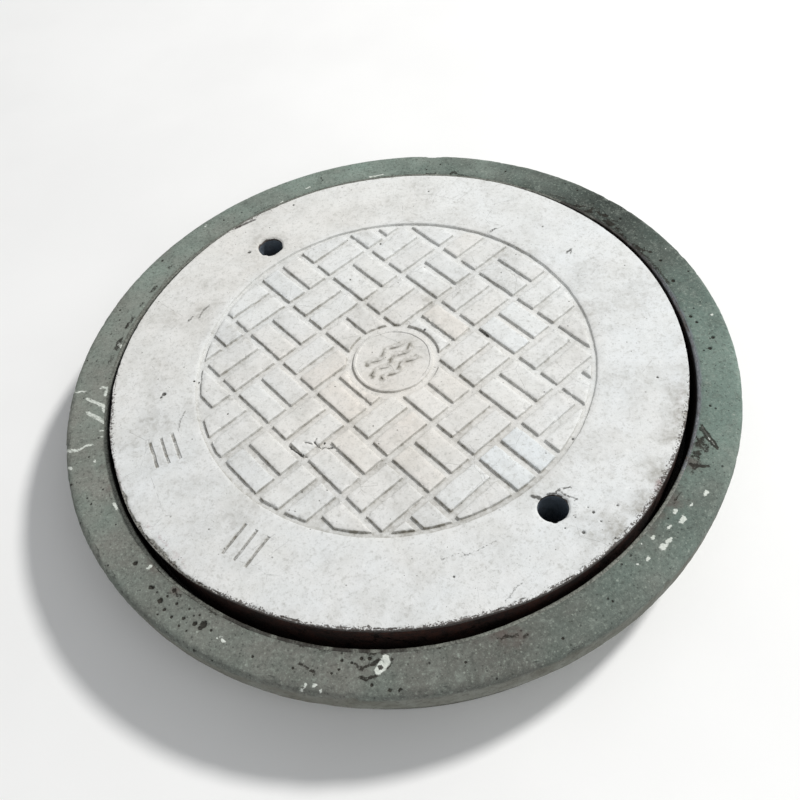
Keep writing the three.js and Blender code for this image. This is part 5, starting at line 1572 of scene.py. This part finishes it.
def mat_frame():
    m = Nodes("frame_concrete")
    green, grey = srgb(124, 143, 134), srgb(130, 131, 124)
    c = m.mix(m.ramp(m.add(m.attr("green"), m.mul(m.add(m.noise(30, 3, 0.6), -0.5), 0.9)), 0.0, 1.1, smooth_step=False), grey, green)
    c = m.mix(1.0, c, m.attr("tone"), "MULTIPLY")
    cloud = m.noise(15, 4, 0.6, 0.3)
    c = m.mix(m.ramp(cloud, 0.50, 0.78, 0.0, 0.36), c, m.mix(m.noise(40, 2, 0.5, offset=2.0), srgb(80, 90, 82), srgb(92, 86, 78)))
    c = m.mix(m.ramp(cloud, 0.47, 0.25, 0.0, 0.30), c, srgb(148, 158, 149))
    mott = m.noise(4.2, 3, 0.65)
    c = m.mix(m.ramp(mott, 0.52, 0.70, 0.0, 0.50), c, srgb(72, 76, 71))
    c = m.mix(m.ramp(mott, 0.46, 0.28, 0.0, 0.42), c, srgb(154, 163, 153))
    grit = m.noise(1.5, 2, 0.7, offset=4.2)
    c = m.mix(m.ramp(grit, 0.55, 0.75, 0.0, 0.45), c, srgb(66, 68, 63))
    c = m.mix(m.ramp(grit, 0.43, 0.27, 0.0, 0.38), c, srgb(168, 176, 165))
    # sand grains, pale and dark, and a few open pores
    v = m.voronoi(2.9)
    g = m.t.nodes.new("ShaderNodeSeparateColor")
    m.put(g.inputs[0], v["Color"])
    grain = m.ramp(v["Distance"], 0.44, 0.30)
    c = m.mix(m.mul(m.mul(grain, m.ramp(g.outputs[0], 0.90, 0.96)), 0.30), c, srgb(172, 180, 169))
    c = m.mix(m.mul(m.mul(grain, m.ramp(g.outputs[1], 0.86, 0.95)), 0.50), c, srgb(46, 48, 45))
    v2 = m.voronoi(8.5)
    g2 = m.t.nodes.new("ShaderNodeSeparateColor")
    m.put(g2.inputs[0], v2["Color"])
    speck = m.mul(m.ramp(v2["Distance"], 0.20, 0.11), m.ramp(g2.outputs[0], 0.93, 0.97))
    c = m.mix(m.mul(speck, 0.34), c, srgb(186, 194, 183))
    pore = m.mul(m.ramp(m.add(v2["Distance"], m.mul(m.add(grit, -0.5), 0.14)), 0.19, 0.10), m.ramp(g2.outputs[1], 0.84, 0.90))
    c = m.mix(m.mul(pore, 0.80), c, srgb(34, 34, 31))
    # stains
    brown = m.ramp(m.add(m.attr("brown"), m.mul(m.add(m.noise(6, 4, 0.65), -0.5), 0.8)), 0.15, 0.95)
    c = m.mix(m.mul(brown, 0.60), c, srgb(94, 80, 76))
    lav = m.ramp(m.add(m.attr("lavender"), m.mul(m.add(m.noise(5, 3, 0.6), -0.5), 0.5)), 0.15, 0.9)
    c = m.mix(m.mul(lav, 0.65), c, srgb(118, 121, 130))
    fine = m.noise(2.2, 3, 0.65, offset=1.7)
    streak = m.noise(1.0, 3, 0.6, vec=m.turned(math.radians(37), 1 / 11.0, 1 / 1.5, 1 / 6.0), unit=True)
    pale = m.ramp(m.add(m.attr("pale"), m.add(m.mul(m.add(streak, -0.5), 1.1), m.mul(m.add(fine, -0.5), 0.7))), 0.42, 0.80)
    c = m.mix(m.mul(pale, 0.88), c, m.mix(m.noise(3.0, 2, 0.5), srgb(247, 250, 244), srgb(186, 194, 183)))
    dark = m.ramp(m.add(m.attr("dark"), m.mul(m.add(fine, -0.5), 1.15)), 0.30, 0.62)
    c = m.mix(m.mul(dark, 0.90), c, m.mix(m.noise(5, 2, 0.5), srgb(15, 15, 12), srgb(48, 43, 35)))
    hid = m.mix(m.ramp(m.noise(40, 4, 0.6), 0.3, 0.7), srgb(132, 134, 126), srgb(104, 102, 92))
    hid = m.mix(m.ramp(m.noise(5, 3, 0.6), 0.5, 0.72, 0.0, 0.5), hid, srgb(72, 70, 62))
    c = m.mix(m.mul(m.attr("hidden"), 0.75), c, hid)
    rough = m.ramp(mott, 0.2, 0.8, 0.84, 0.97)
    hgt = m.add(m.add(m.mul(grit, 0.8), m.mul(mott, 0.9)), m.add(m.mul(pore, -1.6), m.mul(pale, 0.5)))
    nrm = m.bump(hgt, 0.8, 0.7)
    nrm = m.bump(m.mul(dark, -1.0), 0.4, 0.6, nrm)
    return m.shader(c, rough, nrm, spec=0.3)


def mat_steel(name, bare, rust_a, rust_b, rust_lo, rust_hi, dirt, dirt_amount, metal=0.85, coated=False):
    """Rolled steel: mill scale, rust in two tones, dirt over it; when coated, cement near the top and painted shade
    down the gap.
    """
    m = Nodes(name)
    c = m.mix(m.ramp(m.noise(18, 4, 0.6), 0.3, 0.7), bare, tuple(x * 0.62 for x in bare[:3]) + (1.0,))
    where = m.noise(26, 5, 0.66, 0.6)
    rust = m.ramp(m.add(where, m.mul(m.add(m.noise(4.2, 4, 0.7), -0.5), 0.5)), rust_lo, rust_hi)
    tone = m.mix(m.ramp(m.noise(6.5, 4, 0.65, offset=4.4), 0.35, 0.68), rust_a, rust_b)
    flake = m.voronoi(5.2, "DISTANCE_TO_EDGE")["Distance"]
    tone = m.mix(m.ramp(flake, 0.10, 0.02, 0.0, 0.5), tone, tuple(x * 0.45 for x in rust_a[:3]) + (1.0,))
    c = m.mix(rust, c, tone)
    d = m.ramp(m.noise(34, 4, 0.6, offset=8.8), 0.62 - dirt_amount * 0.4, 0.80 - dirt_amount * 0.3)
    c = m.mix(m.mul(d, 0.8), c, dirt)
    fine = m.noise(1.4, 3, 0.7)
    rough = m.math("ADD", m.ramp(rust, 0.0, 1.0, 0.42, 0.80), m.mul(fine, 0.18), clamp=True)
    if coated:
        mess = m.noise(2.6, 3, 0.65, offset=5.5)
        cement = m.ramp(m.add(m.attr("cement"), m.mul(m.add(mess, -0.5), 0.9)), 0.30, 0.55)
        grout = m.mix(m.ramp(m.noise(2.6, 4, 0.68), 0.36, 0.66), srgb(132, 135, 126), srgb(84, 86, 79))
        c = m.mix(m.mul(cement, 0.96), c, grout)
        # near-black down the gap where deep is high: painted shade, with the soil
        deep = m.ramp(m.add(m.attr("deep"), m.mul(m.add(mess, -0.5), 0.5)), 0.25, 0.75)
        c = m.mix(m.mul(deep, 0.92), c, m.mix(m.noise(7, 3, 0.6), srgb(26, 24, 22), srgb(46, 40, 34)))
        d = m.math("MAXIMUM", d, m.math("MAXIMUM", cement, deep))
    metalness = m.mul(m.math("SUBTRACT", 1.0, m.math("MAXIMUM", rust, d)), metal)
    hgt = m.add(m.mul(fine, 0.5), m.add(m.mul(rust, 0.9), m.mul(m.ramp(flake, 0.0, 0.25), 0.5)))
    return m.shader(c, rough, m.bump(hgt, 0.6, 0.5), metalness, spec=0.4)


def mat_floor():
    m = Nodes("studio_floor")
    c = m.mix(m.ramp(m.noise(420, 3, 0.5), 0.35, 0.65), (0.90, 0.90, 0.895, 1), (0.935, 0.935, 0.93, 1))
    c = m.mix(m.ramp(m.noise(2.0, 2, 0.5), 0.55, 0.75, 0.0, 0.05), c, (0.80, 0.80, 0.79, 1))
    return m.shader(c, m.ramp(m.noise(30, 2, 0.5), 0.3, 0.7, 0.72, 0.85), m.bump(m.noise(1.2, 2, 0.5), 0.1, 0.1), spec=0.2)


# ------------------------------------------------------------------ put it together
slab = make_slab()
cutter = Build()
for v in BAR_AT:
    tube_between(cutter, (-380, v, BAR_LOW_Z), (380, v, BAR_LOW_Z), BAR_R + CLEAR, 16)
    tube_between(cutter, (v, -380, BAR_HIGH_Z), (v, 380, BAR_HIGH_Z), BAR_R + CLEAR, 16)
cut(slab, outward(cutter.mesh("cut_bars", 0)))
soften(slab, 34)
cover_fields(slab)
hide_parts("cover_slab")

ring = make_frame_ring()
cut(ring, hoop_cutters())
cut(ring, tie_cutters())
soften(ring, 36)
frame_fields(ring)
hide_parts("frame_ring")

band, angle = make_band(), make_angle()
sleeves, bars, hoops, ties = make_sleeves(), make_bars(), make_hoops(), make_ties()

mats = {
    "cover_concrete": mat_cover(),
    "frame_concrete": mat_frame(),
    "band_steel": mat_steel("band_steel", srgb(62, 56, 54), srgb(70, 40, 30), srgb(44, 30, 26), 0.30, 0.52, srgb(30, 27, 24), 0.5),
    "angle_steel": mat_steel("angle_steel", srgb(96, 99, 103), srgb(92, 60, 44), srgb(66, 48, 40), 0.56, 0.72, srgb(52, 49, 46), 0.35, metal=0.5, coated=True),
    "sleeve_steel": mat_steel("sleeve_steel", srgb(112, 122, 132), srgb(92, 72, 62), srgb(78, 74, 74), 0.60, 0.78, srgb(104, 117, 130), 0.50, metal=0.25),
    "rebar": mat_steel("rebar", srgb(96, 90, 88), srgb(128, 74, 44), srgb(84, 52, 38), 0.40, 0.62, srgb(60, 50, 42), 0.25),
}


def dress(ob, slot, body):
    ob.data.materials.clear()
    ob.data.materials.append(mats[slot])
    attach(ob, body)


dress(slab, "cover_concrete", "cover")
dress(band, "band_steel", "cover")
for s in sleeves:
    dress(s, "sleeve_steel", "cover")
for s in bars:
    dress(s, "rebar", "cover")
dress(ring, "frame_concrete", "frame")
dress(angle, "angle_steel", "frame")
for s in hoops + ties:
    dress(s, "rebar", "frame")

# ------------------------------------------------------------------ stage: pale floor, world, light, camera
fl = Build()
side, cells = 7000.0, 28
gx = np.linspace(-side, side, cells + 1)
X, Y = np.meshgrid(gx, gx)
# a flat floor 14 m across, 0.6 mm below the frame's foot
Z = -0.6 + 0.0 * X
idx = np.arange((cells + 1) ** 2).reshape(cells + 1, cells + 1)
fl.add(np.stack([X, Y, Z], 2).reshape(-1, 3), np.stack([idx[:-1, :-1], idx[:-1, 1:], idx[1:, 1:], idx[1:, :-1]], 2).reshape(-1, 4))
floor = fl.mesh("studio_floor", 0)
floor.data.materials.append(mat_floor())

world = bpy.data.worlds.new("studio")
bpy.context.scene.world = world
world.use_nodes = True
wn = world.node_tree.nodes
bg = wn.get("Background") or wn.new("ShaderNodeBackground")
bg.inputs["Color"].default_value = (0.97, 0.985, 1.0, 1)
bg.inputs["Strength"].default_value = 0.37


def area(name, azimuth, elevation, distance, size, power, colour):
    data = bpy.data.lights.new(name, "AREA")
    data.shape = "DISK"
    data.size = size
    data.energy = power
    data.color = colour
    ob = bpy.data.objects.new(name, data)
    bpy.context.scene.collection.objects.link(ob)
    a, e = math.radians(azimuth), math.radians(elevation)
    d = Vector((math.cos(a) * math.cos(e), math.sin(a) * math.cos(e), math.sin(e)))
    ob.location = Vector((0, 0, 0.1)) + d * distance
    ob.rotation_mode = "QUATERNION"
    ob.rotation_quaternion = d.to_track_quat("Z", "Y")
    return ob


area("key", 24, 46, 7.0, 0.95, 410, (1.0, 0.99, 0.972))
area("fill", -58, 42, 4.0, 3.0, 26, (0.97, 0.985, 1.0))

EL, ROLL = math.radians(52.292), math.radians(-9.795)
TARGET = Vector((0.396, -64.874, 112.0)) * MM
DIST = 1055.62 * MM
back = Vector((0, -math.cos(EL), math.sin(EL)))
right0, up0 = Vector((1, 0, 0)), Vector((0, math.sin(EL), math.cos(EL)))
right = right0 * math.cos(ROLL) + up0 * math.sin(ROLL)
up = right0 * -math.sin(ROLL) + up0 * math.cos(ROLL)
cam_data = bpy.data.cameras.new("camera")
cam_data.sensor_fit = "HORIZONTAL"
cam_data.sensor_width = 36.0
cam_data.lens = 888.55 / 800 * 36.0
cam_data.clip_start, cam_data.clip_end = 0.01, 100
cam_data.dof.use_dof = False
cam = bpy.data.objects.new("camera", cam_data)
bpy.context.scene.collection.objects.link(cam)
rot = Matrix((right, up, back)).transposed()
cam.matrix_world = Matrix.Translation(TARGET + back * DIST) @ rot.to_4x4()
bpy.context.scene.camera = cam

bpy.context.scene.view_settings.view_transform = "Standard"
bpy.context.scene.view_settings.look = "None"
bpy.context.scene.view_settings.exposure = 0.0
bpy.context.scene.view_settings.gamma = 1.0
